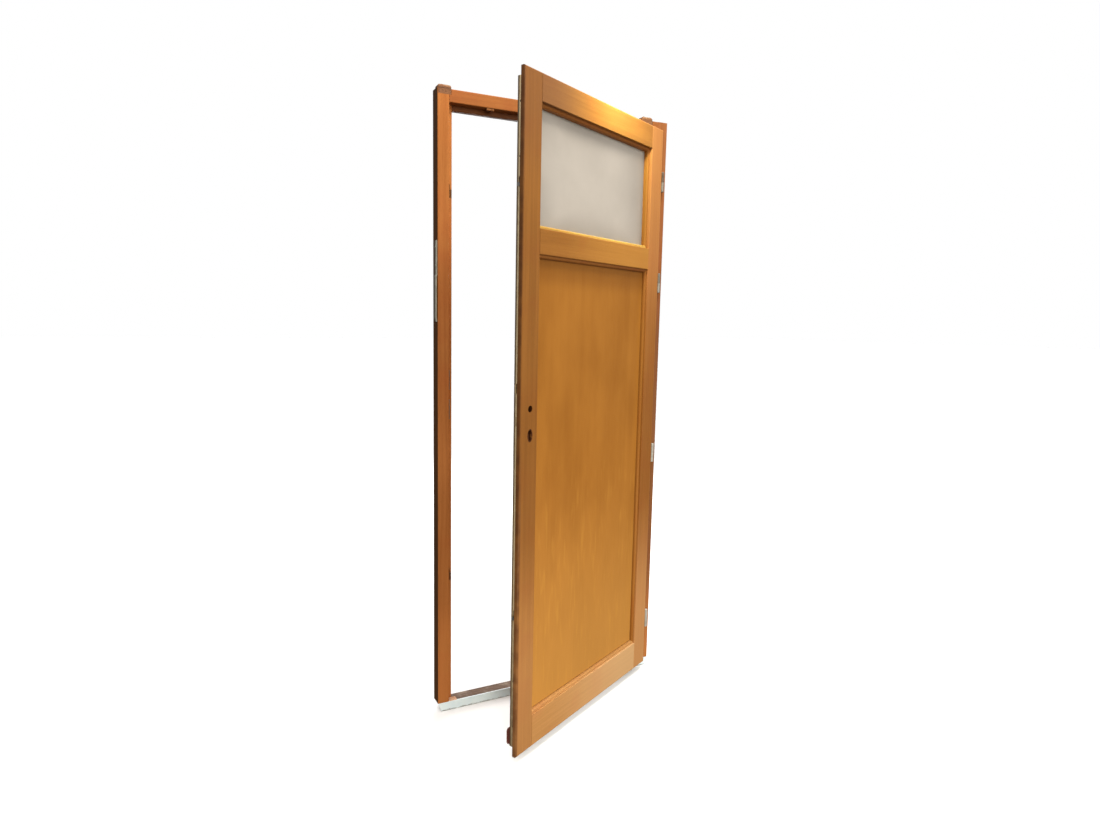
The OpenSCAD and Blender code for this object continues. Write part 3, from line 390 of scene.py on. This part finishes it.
def veneer(point):
    """Panel veneer: fine straight grain in upright leaves a hand wide and faint clouds, flecked towards its
    foot, with painted light towards its foot, painted shade under the middle rail at its top, and a dark line
    against the beads."""
    place = leaf_place(point)
    x, y, z = place.parts()
    leaf = (x * VENEER_LEAVES + 0.2).math("FLOOR")
    fibres = (x + leaf * 0.31).joined(y, z * 0.045 + leaf * 0.7).noise(480.0, 3.0, 0.6).ease(0.25, 0.75)
    flecks = (x + leaf * 0.5).joined(y, z * 0.13).noise(64.0, 2.0).ease(0.52, 0.76)
    figure = (x + leaf * 0.11).joined(y, z * 0.09 + leaf).noise(26.0, 2.0).ease(0.3, 0.7)
    clouds = x.joined(y, z * 0.5).noise(6.0, 3.0).ease(0.3, 0.7)
    depth = fibres * 0.14 + figure * 0.26 + clouds * 0.60
    colour = depth.blend(srgb(163, 107, 42), srgb(144, 91, 32))
    # Painted light towards the foot
    colour = (z.ease(*PANEL_FOOT_LIGHT) * 0.5).cover(colour, (190, 139, 70))
    # Painted shade under the middle rail at the top
    colour = (z.ease(*PANEL_TOP_SHADE) * 0.32).cover(colour, (110, 66, 22))
    colour = (flecks * z.ease(*PANEL_FLECKS) * 0.22).cover(colour, (198, 144, 62))
    rim = (x - PANEL_RIM_LOCK).least(PANEL_RIM_HINGE - x).least(z - PANEL_RIM_LOW)
    line = (rim.ease(*PANEL_LINE) * 0.8).most((PANEL_RIM_HIGH - z).ease(*PANEL_LINE) * 0.3)
    colour = line.cover(colour, (70, 38, 14))
    return {"Base Color": colour, "Roughness": fibres * 0.1 + clouds * 0.08 + VARNISH_ROUGHNESS,
            "Relief": fibres}


def frosted(point):
    """Sand-blasted glass: an even grey-beige with a very fine tooth and faint clouds, and painted shade
    towards its edges.
    """
    place = leaf_place(point)
    x, _, z = place.parts()
    clouds = place.noise(5.0, 3.0).ease(0.3, 0.75)
    tooth = place.noise(1800.0, 1.0)
    side = abs(x - (FLANGE_EDGE_HINGE + FLANGE_EDGE_LOCK) / 2).ease(*GLASS_SIDES)
    end = abs(z - (GLASS_TOP + GLASS_BOTTOM) / 2).ease(*GLASS_ENDS)
    # Painted shade towards the sides and ends, over faint clouds
    shade = clouds * 0.30 + side.most(end) * 0.62
    colour = shade.blend(srgb(191, 184, 175), srgb(154, 148, 140))
    return {"Base Color": colour, "Roughness": clouds * 0.1 + 0.45, "Relief": tooth}


def sill_board_look(point):
    """Weathered sill: grey-brown, grain standing out, with patches of dust."""
    bands, fibres, _, tone = grain(point, "X", 4.0)
    dust = point.noise(22.0, 4.0, 0.65)
    depth = (bands * 0.3 + fibres * 0.5 + tone * 0.3).ease(0.2, 0.9)
    colour = depth.blend(srgb(132, 104, 82), srgb(78, 54, 40))
    colour = (dust.ease(0.45, 0.8) * 0.6).cover(colour, (176, 160, 142))
    return {"Base Color": colour, "Roughness": 0.9 - fibres * 0.2, "Relief": fibres}


def sill_strip_look(point):
    """Dull white aluminium with drawing lines, and a ragged dark grey band along its lower edge."""
    x, y, z = point.parts()
    lines = (x * 0.01).joined(y, z).noise(1600.0, 2.0)
    uneven = (x.joined(0.0, z * 2.0).noise(60.0, 4.0, 0.7) - 0.5) * 0.018
    # A ragged darker band along the lower edge
    grime = (z + uneven).ease(*STRIP_LOWER_EDGE)
    clouds = point.noise(18.0, 3.0)
    colour = clouds.ease(0.3, 0.8).blend(srgb(236, 250, 255), srgb(222, 240, 250))
    colour = (grime * 0.75).cover(colour, (98, 92, 86))
    return {"Base Color": colour, "Roughness": lines * 0.15 + 0.42, "Relief": lines}


def bare_wood_look(point):
    """Torn, unvarnished wood: pale, coarse fibres with pinkish tone."""
    bands, fibres, _, _ = grain(point, "X", 9.0)
    colour = (fibres * 0.8 + bands * 0.3).ease(0.2, 0.9).blend(srgb(240, 206, 176), srgb(206, 150, 112))
    return {"Base Color": colour, "Roughness": 0.85 + fibres * 0.1, "Relief": fibres + bands * 0.4}


def block_look(point):
    """Rough brown blocks: dark stain, scuffed paler at the top, grain deeply marked."""
    bands, fibres, _, _ = grain(point, "X", 6.0)
    z = point.parts()[2]
    scuff = z.ease(*BLOCK_SCUFF) * point.noise(120.0, 3.0).ease(0.4, 0.7)
    colour = (fibres * 0.7 + bands * 0.4).ease(0.2, 1.0).blend(srgb(132, 86, 52), srgb(82, 50, 31))
    colour = (scuff * 0.7).cover(colour, (172, 150, 122))
    return {"Base Color": colour, "Roughness": 0.8 + fibres * 0.1, "Relief": fibres + bands * 0.5}


def weather_bar_look(point):
    """Red-brown paint over wood, worn through in spots."""
    _, fibres, _, tone = grain(leaf_place(point), "X", 8.0)
    worn = point.noise(70.0, 4.0, 0.7).ease(0.62, 0.72)
    colour = (tone * 0.6 + fibres * 0.4).ease(0.3, 0.7).blend(srgb(120, 56, 41), srgb(88, 38, 28))
    colour = (worn * 0.5).cover(colour, (126, 80, 56))
    return {"Base Color": colour, "Roughness": 0.5 + fibres * 0.2, "Relief": fibres}


def hinge_shade(place, colour):
    """Painted shade over the two upper hinges, darkest on the top one and on their upper halves."""
    z = place.parts()[2]
    upper_half, top_half = (z.ease(middle - CLEAN_LINE, middle + CLEAN_LINE)
                            for middle in (UPPER_HINGE_Z, TOP_HINGE_Z))
    top_one = z.ease(*TOP_HINGE)
    half = top_half.most(upper_half * (1 - top_one))
    # How deep the painted shade over the upper hinges is
    thick = half * 0.25 + top_one * 0.25 + place.noise(70.0, 3.0).ease(0.3, 0.7) * 0.1 + 0.4
    return (z.ease(*SHADED_HINGES) * thick).cover(colour, (80, 60, 44))


def faceplate_marks(point, colour):
    """Painted shade along both long edges of the faceplate, and grime that thickens towards its
    foot."""
    place = leaf_place(point)
    _, y, z = place.parts()
    wavy = y + (y.joined(0.0, z * 0.6).noise(60.0, 3.0) - 0.5) * 0.003
    # Painted shade along both long edges
    edge = wavy.ease(*PLATE_BACK_EDGE).most(wavy.ease(*PLATE_FRONT_EDGE))
    grime = z.ease(*PLATE_GRIME) * (place.noise(50.0, 4.0).ease(0.3, 0.7) * 0.35 + 0.3)
    return (edge * 0.85).most(grime).cover(colour, (74, 54, 36))


def strap_marks(place, colour):
    """Darker over the rear half of the strap, with an uneven edge."""
    y = place.parts()[1]
    wavy = y + (place.noise(45.0, 3.0) - 0.5) * 0.005
    # Darker over the rear half
    return (wavy.ease(*STRAP_REAR_HALF) * 0.85).cover(colour, (58, 42, 29))


def paint(material, *names):
    """Gives a finish to CAD nodes."""
    for name in names:
        slots = nodes[name].data.materials
        slots.clear()
        slots.append(material)


MATT = dict(shine=0.01, coat=0.0)
paint(wood("jamb_wood_lock", "Z", FRAME_WOOD, 1.0, marks=jamb_marks, **MATT), "left_jamb")
paint(wood("jamb_wood_hinge", "Z", HINGE_JAMB_WOOD, 2.3, marks=jamb_marks, **MATT), "right_jamb")
paint(wood("head_wood", "X", SHADED_HEAD_WOOD, 3.1, marks=head_rebate_shade), "frame_head")
paint(wood("lock_stile_wood", "Z", LOCK_STILE_WOOD, 5.2, leaf=True, marks=stile_marks), "lock_stile")
paint(wood("hinge_stile_wood", "Z", HINGE_STILE_WOOD, 7.7, leaf=True, marks=stile_marks), "hinge_stile")
# The top rail darkens towards the lock side: painted shade
paint(wood("top_rail_wood", "X", LEAF_WOOD, 9.4, leaf=True,
           marks=rail_marks(SHADE_TO_LOCK_SIDE, 0.65, (110, 75, 51))), "top_rail")
# The middle rail lightens towards the hinge side: painted light
paint(wood("middle_rail_wood", "X", LEAF_WOOD, 11.1, leaf=True,
           marks=rail_marks(LIGHT_TO_HINGE_SIDE, 0.55, (186, 130, 58))), "middle_rail")
# The bottom rail lightens towards the hinge side: painted light
paint(wood("bottom_rail_wood", "X", LIT_LOW_RAIL_WOOD, 12.8, leaf=True,
           marks=rail_marks(LIGHT_TO_HINGE_SIDE, 0.5, (214, 176, 130))), "bottom_rail")
upright_beads, top_beads = ([name for name in nodes if "_bead_" in name and word in name]
                            for word in ("side", "top"))
paint(wood("upright_bead_wood", "Z", BEAD_WOOD, 12.0, leaf=True), *upright_beads)
paint(wood("top_bead_wood", "X", SHADED_TOP_BEAD_WOOD, 14.0, leaf=True), *top_beads)
paint(wood("low_bead_wood", "X", LIT_LOW_BEAD_WOOD, 15.0, leaf=True), "glass_bead_bottom")
paint(wood("panel_low_bead_wood", "X", LIT_LOW_RAIL_WOOD, 16.0, leaf=True), "panel_bead_bottom")
paint(finish("panel_veneer", veneer, depth=0.0001, Coat_Weight=0.03, Specular_IOR_Level=0.09, **VARNISH),
      "door_panel")
paint(finish("frosted_glass", frosted, depth=0.00004, Transmission_Weight=0.3, IOR=1.48), "glass_pane")
paint(finish("sill_board", sill_board_look, depth=0.0006), "sill_board")
paint(finish("sill_strip", sill_strip_look, depth=0.00006, Metallic=0.05), "sill_strip")
bare_wood = finish("bare_wood", bare_wood_look, depth=0.0008)
block_wood = finish("block_wood", block_look, depth=0.0008)
paint(finish("weather_bar", weather_bar_look, depth=0.0003), "weather_bar")
hinges = [name for name in nodes if "hinge_base" in name or "hinge_knuckle" in name]
paint(metal("hinge_zinc", (190, 186, 178), (152, 148, 140), 1.0, metallic=0.4, marks=hinge_shade),
      *hinges, "hinge_pins")
strap_zinc = metal("strap_zinc", (206, 202, 186), (168, 164, 148), 2.0, rough=0.45, marks=strap_marks)
strike_steel = metal("strike_steel", (150, 146, 140), (104, 100, 94), 3.0)
faceplate_screw_steel = metal("faceplate_screw_steel", (150, 138, 118), (96, 84, 68), 8.0)
paint(strap_zinc, "wall_strap")
paint(strike_steel, "latch_strike", "bolt_strike")
paint(metal("keep_bronze", (130, 84, 48), (88, 54, 30), 6.0), "upper_keep", "lower_keep", "head_catch")
paint(metal("faceplate_steel", (240, 216, 172), (214, 188, 144), 4.0, metallic=0.25,
            marks=faceplate_marks), "lock_faceplate")
paint(metal("lock_steel", (150, 148, 144), (104, 100, 96), 5.0),
      "lock_case", "follower", "lock_rod", "lock_cams")
paint(metal("bolt_brass", (208, 182, 138), (168, 140, 100), 7.0, metallic=0.35), "latch_bolt", "dead_bolt")

SHARP_ANGLE = math.radians(35.0)


def mesh_piece(name, points, faces):
    """A mesh object from places and faces, shaded smooth but for its sharp edges."""
    mesh = bpy.data.meshes.new(name)
    mesh.from_pydata(points.tolist(), [], faces)
    mesh.update()
    mesh.shade_smooth()
    mesh.set_sharp_from_angle(angle=SHARP_ANGLE)
    made = bpy.data.objects.new(name, mesh)
    bpy.context.scene.collection.objects.link(made)
    return made


def shells(name, body, material, replaced, stacks):
    """A piece of one or more closed shells. Each stack is an array of rings: the first and the last ring are
    single points, the rings between them join up round, and neighbouring rings are joined by four-sided
    faces. A shell whose volume comes out negative has its faces turned over."""
    points, faces, start = [], [], 0
    for rings in stacks:
        count, around = rings.shape[:2]
        spots = np.concatenate([rings[:1, 0], rings[1:-1].reshape(-1, 3), rings[-1:, 0]])
        i = np.arange(around)
        j = (i + 1) % around
        base = 1 + around * np.arange(count - 3)[:, None]
        quads = np.stack([base + i, base + around + i, base + around + j, base + j], -1).reshape(-1, 4)
        last = len(spots) - 1
        fans = np.concatenate([np.stack([0 * i, 1 + i, 1 + j], -1),
                               np.stack([last - around + i, 0 * i + last, last - around + j], -1)])
        sides = np.concatenate([quads[:, [0, 1, 2]], quads[:, [0, 2, 3]], fans])
        a, b, c = (spots[sides[:, k]] for k in range(3))
        turn = 1 if np.einsum("ij,ij->", a, np.cross(b, c)) > 0 else -1
        faces += (quads[:, ::turn] + start).tolist() + (fans[:, ::turn] + start).tolist()
        points.append(spots)
        start += len(spots)
    piece = mesh_piece(name, np.concatenate(points), faces)
    piece.data.materials.append(material)
    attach(piece, body)
    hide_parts(replaced)


def opened(points):
    """Turns places on the closed leaf about the hinge axis to where the leaf stands open."""
    c, s = math.cos(OPEN_ANGLE), math.sin(OPEN_ANGLE)
    x, y = points[..., 0] - HINGE_X, points[..., 1] - HINGE_Y
    return np.stack([HINGE_X + c * x - s * y, HINGE_Y + s * x + c * y, points[..., 2]], -1)


def step(values, low, high):
    """Rises smoothly from 0 to 1 between low and high."""
    t = np.clip((values - low) / (high - low), 0.0, 1.0)
    return t * t * (3 - 2 * t)


SCREW_SIDES, SCREW_RINGS = 64, 18
CROSS_DEPTH, CROSS_HALF, CROSS_REACH, CROSS_EDGE = 0.0010, 0.0005, 0.0023, 0.0003


def screw(head_radius, crown, sink, shank_radius, shank_end, tip, place, along, turned):
    """A screw along X as rings round its axis. The head's top is a dome that falls by crown from its middle
    to its rim, with a cross sunk in it; below the rim a cone of height sink runs in to the shank, which ends
    in a point."""
    radius = np.linspace(0.0, head_radius, SCREW_RINGS)
    fall = crown * (radius / head_radius) ** 2
    radius = np.concatenate([radius, [shank_radius, shank_radius, 0.0]])[:, None]
    depth = np.concatenate([fall, [crown + sink, shank_end, tip]])[:, None]
    angle = np.linspace(0.0, 2 * math.pi, SCREW_SIDES, endpoint=False)[None, :]
    y, z = radius * np.cos(angle), radius * np.sin(angle)
    p, q = np.abs(radius * np.cos(angle + turned)), np.abs(radius * np.sin(angle + turned))
    arms = [(1 - step(across, CROSS_HALF, CROSS_HALF + CROSS_EDGE))
            * (1 - step(run, CROSS_REACH, CROSS_REACH + CROSS_EDGE)) for across, run in ((p, q), (q, p))]
    top = (np.arange(len(depth)) < SCREW_RINGS - 3)[:, None]
    depth = depth + CROSS_DEPTH * np.maximum(*arms) * top
    return np.stack([place[0] + along * depth, place[1] + y, place[2] + z], -1)


# Head radius, crown, sink, shank radius, where the shank ends, and the tip
COUNTERSUNK_SIZES = (0.0036, 0.0, 0.0015, 0.0018, 0.0165, 0.018)
ROUND_HEAD_SIZES = (0.0045, 0.0017, 0.0003, 0.0020, 0.0185, 0.020)

LOCK_Y = -0.011
PLATE_END = 0.0075
BODY_EDGE_X = -0.399
FACEPLATE_SCREW_HEIGHTS = [0.114, 0.264, 1.846, 1.996]
STRAP_HEAD_X = -0.454
STRAP_SCREW_HEIGHTS = [1.620, 1.560]

strike_places = []
for plate, ends in (("latch_strike", (0, 1)), ("bolt_strike", (0, 1)), ("lower_keep", (1,)),
                    ("upper_keep", (1,))):
    low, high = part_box(plate)
    heights = low[2] + PLATE_END, high[2] - PLATE_END
    strike_places += [(STRIKE_FACE_X, LOCK_Y, heights[end]) for end in ends]

# Countersunk screws lie flush in their plates, and round heads stand on the strap. Each is turned its own way
shells("strike_screw_heads", "frame", strike_steel, "strike_screws",
       [screw(*COUNTERSUNK_SIZES, place, -1.0, 0.7 * k) for k, place in enumerate(strike_places)])
shells("faceplate_screw_heads", "leaf", faceplate_screw_steel, "faceplate_screws",
       [opened(screw(*COUNTERSUNK_SIZES, (BODY_EDGE_X, LOCK_Y, height), 1.0, 0.4 + 0.9 * k))
        for k, height in enumerate(FACEPLATE_SCREW_HEIGHTS)])
shells("strap_screw_heads", "frame", strap_zinc, "strap_screws",
       [screw(*ROUND_HEAD_SIZES, (STRAP_HEAD_X, STRAP_MIDDLE, height), 1.0, 0.3 + k)
        for k, height in enumerate(STRAP_SCREW_HEIGHTS)])


def power(values, exponent):
    """A power that keeps the sign."""
    return np.sign(values) * np.abs(values) ** exponent


BLOCK_RINGS, BLOCK_SIDES = 70, 160
ROUNDED, SQUARE, SQUARE_PLAN = 0.40, 0.05, 0.10
DENT_DEPTH = 0.0007


def worn_block(node, seed):
    """A block as a superquadric that fills the node's box: nearly square below its middle, rounded off above
    it, and dented by a product of sines of the place, which grows towards the top."""
    low, high = (np.array(corner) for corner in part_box(node))
    rise = np.sin(np.linspace(math.pi / 2, -math.pi / 2, BLOCK_RINGS))[:, None]
    girth = np.sqrt(1 - rise ** 2)
    angle = np.linspace(0.0, 2 * math.pi, BLOCK_SIDES, endpoint=False)[None, :]
    shape = np.where(rise > 0, ROUNDED, SQUARE)
    around = power(girth, shape)
    unit = np.stack([around * power(np.cos(angle), SQUARE_PLAN), around * power(np.sin(angle), SQUARE_PLAN),
                     power(rise, shape) + 0 * angle], -1)
    places = (low + high) / 2 + unit * (high - low) / 2
    x, y = places[..., 0], places[..., 1]
    dent = np.sin(240 * x + seed) * np.sin(330 * y + 2 * seed) + 0.6 * np.sin(610 * x + 450 * y + seed)
    worn = DENT_DEPTH * (1.0 + 0.6 * dent) * np.clip(unit[..., 2] + 0.2, 0.0, 1.0)
    return places - unit * worn[..., None]


for seed, node in ((1.3, "lock_side_block"), (4.1, "hinge_side_block")):
    shells("worn_" + node, "frame", block_wood, node, [worn_block(node, seed)])

PATCH_RINGS, PATCH_SIDES = 40, 180
PATCH_RIM, PATCH_FALL = 0.72, 0.85


def torn_patch(node):
    """Bare wood left on the sill: a low mound over the node's base. Its outline is a rectangle pulled in by
    sines of the angle, its top carries ridges along the grain, and its rim falls to the sill."""
    low, high = (np.array(corner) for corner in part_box(node))
    middle, half = (low + high) / 2, (high - low) / 2
    out = np.concatenate([np.linspace(0.0, 1.0, PATCH_RINGS), [1.0, 0.0]])[:, None]
    angle = np.linspace(0.0, 2 * math.pi, PATCH_SIDES, endpoint=False)[None, :]
    reach = 1 / np.maximum(np.abs(np.cos(angle)) / half[0], np.abs(np.sin(angle)) / half[1])
    ragged = 1 - 0.05 * (1 + np.sin(17 * angle)) - 0.03 * (1 + np.sin(41 * angle + 1.0))
    x, y = (middle[k] + out * reach * ragged * turn(angle) for k, turn in enumerate((np.cos, np.sin)))
    ridges = 0.62 + 0.2 * np.sin(1900 * y + 3 * np.sin(160 * x)) + 0.18 * np.sin(3700 * y + 90 * x)
    height = (high[2] - low[2]) * ridges * (1 - PATCH_FALL * step(out, PATCH_RIM, 1.0))
    under = np.arange(len(out))[:, None] >= len(out) - 2
    return np.stack([x, y, low[2] + np.where(under, 0.0, height)], -1)


shells("torn_sill_patch", "frame", bare_wood, "sill_patch", [torn_patch("sill_patch")])


# Floor, light and camera. The floor shows and takes shadows, but throws no light back onto the part
FLOOR_HALF = 60.0
FLOOR_CORNERS = np.array([[-1, -1, 0], [1, -1, 0], [1, 1, 0], [-1, 1, 0]])
floor = mesh_piece("floor", FLOOR_HALF * FLOOR_CORNERS, [(0, 1, 2, 3)])
floor.visible_diffuse = False
floor.visible_glossy = False


def floor_look(point):
    """Pale, matt floor with a barely visible mottle."""
    mottle = point.noise(3.0, 2.0).blend(srgb(249, 249, 249), srgb(246, 246, 247))
    return {"Base Color": mottle, "Roughness": 0.9}


floor.data.materials.append(finish("pale_floor", floor_look))

# White behind the part. What lights it is brightest overhead, low at the sides and lowest from below
BACKDROP = (1.0, 1.0, 1.0, 1.0)
OVERHEAD_LIGHT = (1.95, 1.95, 1.95, 1.0)
SIDE_LIGHT = (0.34, 0.33, 0.31, 1.0)
GROUND_LIGHT = (0.16, 0.148, 0.13, 1.0)
world = bpy.data.worlds.new("studio")
world.use_nodes = True
world_tree = world.node_tree
world_tree.nodes.clear()
way = Field(world_tree, world_tree.nodes.new("ShaderNodeTexCoord").outputs["Generated"])
height = way.parts()[2]
around_light = height.ease(-0.25, 0.1).blend(GROUND_LIGHT, SIDE_LIGHT)
lighting = (height.most(0.0) ** 2.0).blend(around_light, OVERHEAD_LIGHT)
seen = Field(world_tree, world_tree.nodes.new("ShaderNodeLightPath").outputs["Is Camera Ray"])
backdrop = way.make("Background", {}, {"Color": seen.blend(lighting, BACKDROP), "Strength": 1.0})
world_tree.links.new(backdrop.socket, world_tree.nodes.new("ShaderNodeOutputWorld").inputs["Surface"])
bpy.context.scene.world = world
bpy.context.scene.view_settings.view_transform = "Standard"


def area_light(name, place, target, size, power, colour):
    """A square area light at a place, facing a target."""
    data = bpy.data.lights.new(name, "AREA")
    data.size = size
    data.energy = power
    data.color = colour
    back = np.subtract(place, target).astype(float)
    back /= np.linalg.norm(back)
    side = np.cross((0.0, 1.0, 0.0) if abs(back[2]) > 0.99 else (0.0, 0.0, 1.0), back)
    side /= np.linalg.norm(side)
    lamp = bpy.data.objects.new(name, data)
    turned = np.stack([side, np.cross(back, side), back, np.array(place)], 1)
    lamp.matrix_world = Matrix([*turned.tolist(), [0.0, 0.0, 0.0, 1.0]])
    lamp.visible_camera = False
    bpy.context.scene.collection.objects.link(lamp)
    return lamp


def shade_from(lamp, *pieces):
    """Keeps a lamp's light off some pieces."""
    spared = bpy.data.collections.new(lamp.name + "_spares")
    for piece in pieces:
        spared.objects.link(piece)
    for row in spared.collection_objects:
        row.light_linking.link_state = "EXCLUDE"
    lamp.light_linking.receiver_collection = spared


def before_leaf(from_hinge, out, height):
    """A place counted from the hinge axis along the open leaf, out from its face, and up."""
    c, s = math.cos(OPEN_ANGLE), math.sin(OPEN_ANGLE)
    ahead = out - LEAF_FACE
    return HINGE_X - from_hinge * c + ahead * s, HINGE_Y - from_hinge * s - ahead * c, height


# Name, place, target, size, power in watts and colour of each light
MIDDLE = (0.0, -0.2, 1.1)
STUDIO_WHITE = (1.0, 0.95, 0.86)
for light in (
        ("key", (2.4, -3.0, 2.8), MIDDLE, 2.0, 44.0, STUDIO_WHITE),
        ("fill", (-0.7, -3.6, 2.9), MIDDLE, 2.4, 41.0, STUDIO_WHITE),
        ("low_fill_lock_side", (-0.72, -1.45, 0.27), (-0.20, -0.20, 0.12), 0.4, 10.0, (1.0, 0.93, 0.78)),
        ("low_fill_hinge_side", (0.90, -1.30, 0.27), (0.20, -0.15, 0.12), 0.4, 7.5, (1.0, 0.94, 0.82)),
        ("doorway_lamp", (-0.46, -0.55, 2.70), (-0.46, -0.02, 1.9), 0.3, 2.8, (1.0, 0.90, 0.74)),
        ("back_fill", (1.5, 3.4, 2.6), (0.0, 0.0, 1.1), 2.4, 120.0, (1.0, 0.97, 0.92)),
        ("ceiling_light", (0.10, -1.00, 3.30), (0.05, -0.20, 1.2), 0.4, 28.0, (1.0, 0.93, 0.82))):
    area_light(*light)

# A small lamp just before the leaf's top, facing down, lights the rails and beads
LAMP_FROM_HINGE, LAMP_OUT, LAMP_HEIGHT, LAMP_AIM = 0.35, 0.12, 2.26, 1.0
small_lamp = area_light("small_lamp", before_leaf(LAMP_FROM_HINGE, LAMP_OUT, LAMP_HEIGHT),
                        before_leaf(LAMP_FROM_HINGE, LAMP_OUT, LAMP_AIM), 0.08, 7.0, (0.86, 1.0, 0.84))
small_lamp.visible_glossy = False
shade_from(small_lamp, nodes["glass_pane"], nodes["frame_head"], nodes["right_jamb"])

# Camera, as fitted to the photograph: focal length and centre in pixels of a 1100 by 824 image
IMAGE_WIDTH, IMAGE_HEIGHT = 1100.0, 824.0
FOCAL, CENTRE_X, CENTRE_Y = 697.574, 504.155, 413.269
CAMERA_PLACE = (-1.222667, -2.227169, 1.372758)
YAW, PITCH, ROLL = math.radians(24.801), math.radians(-7.294), math.radians(0.629)
SENSOR_WIDTH = 36.0

forward = np.array([math.sin(YAW) * math.cos(PITCH), math.cos(YAW) * math.cos(PITCH), math.sin(PITCH)])
level = np.array([math.cos(YAW), -math.sin(YAW), 0.0])
upward = np.cross(level, forward)
right = math.cos(ROLL) * level + math.sin(ROLL) * upward
upward = -math.sin(ROLL) * level + math.cos(ROLL) * upward
camera_data = bpy.data.cameras.new("camera")
camera_data.sensor_width = SENSOR_WIDTH
camera_data.lens = FOCAL / IMAGE_WIDTH * SENSOR_WIDTH
camera_data.shift_x = (IMAGE_WIDTH / 2 - CENTRE_X) / IMAGE_WIDTH
camera_data.shift_y = (CENTRE_Y - IMAGE_HEIGHT / 2) / IMAGE_WIDTH
camera = bpy.data.objects.new("camera", camera_data)
turned = np.stack([right, upward, -forward, np.array(CAMERA_PLACE)], 1)
camera.matrix_world = Matrix([*turned.tolist(), [0.0, 0.0, 0.0, 1.0]])
bpy.context.scene.collection.objects.link(camera)
bpy.context.scene.camera = camera
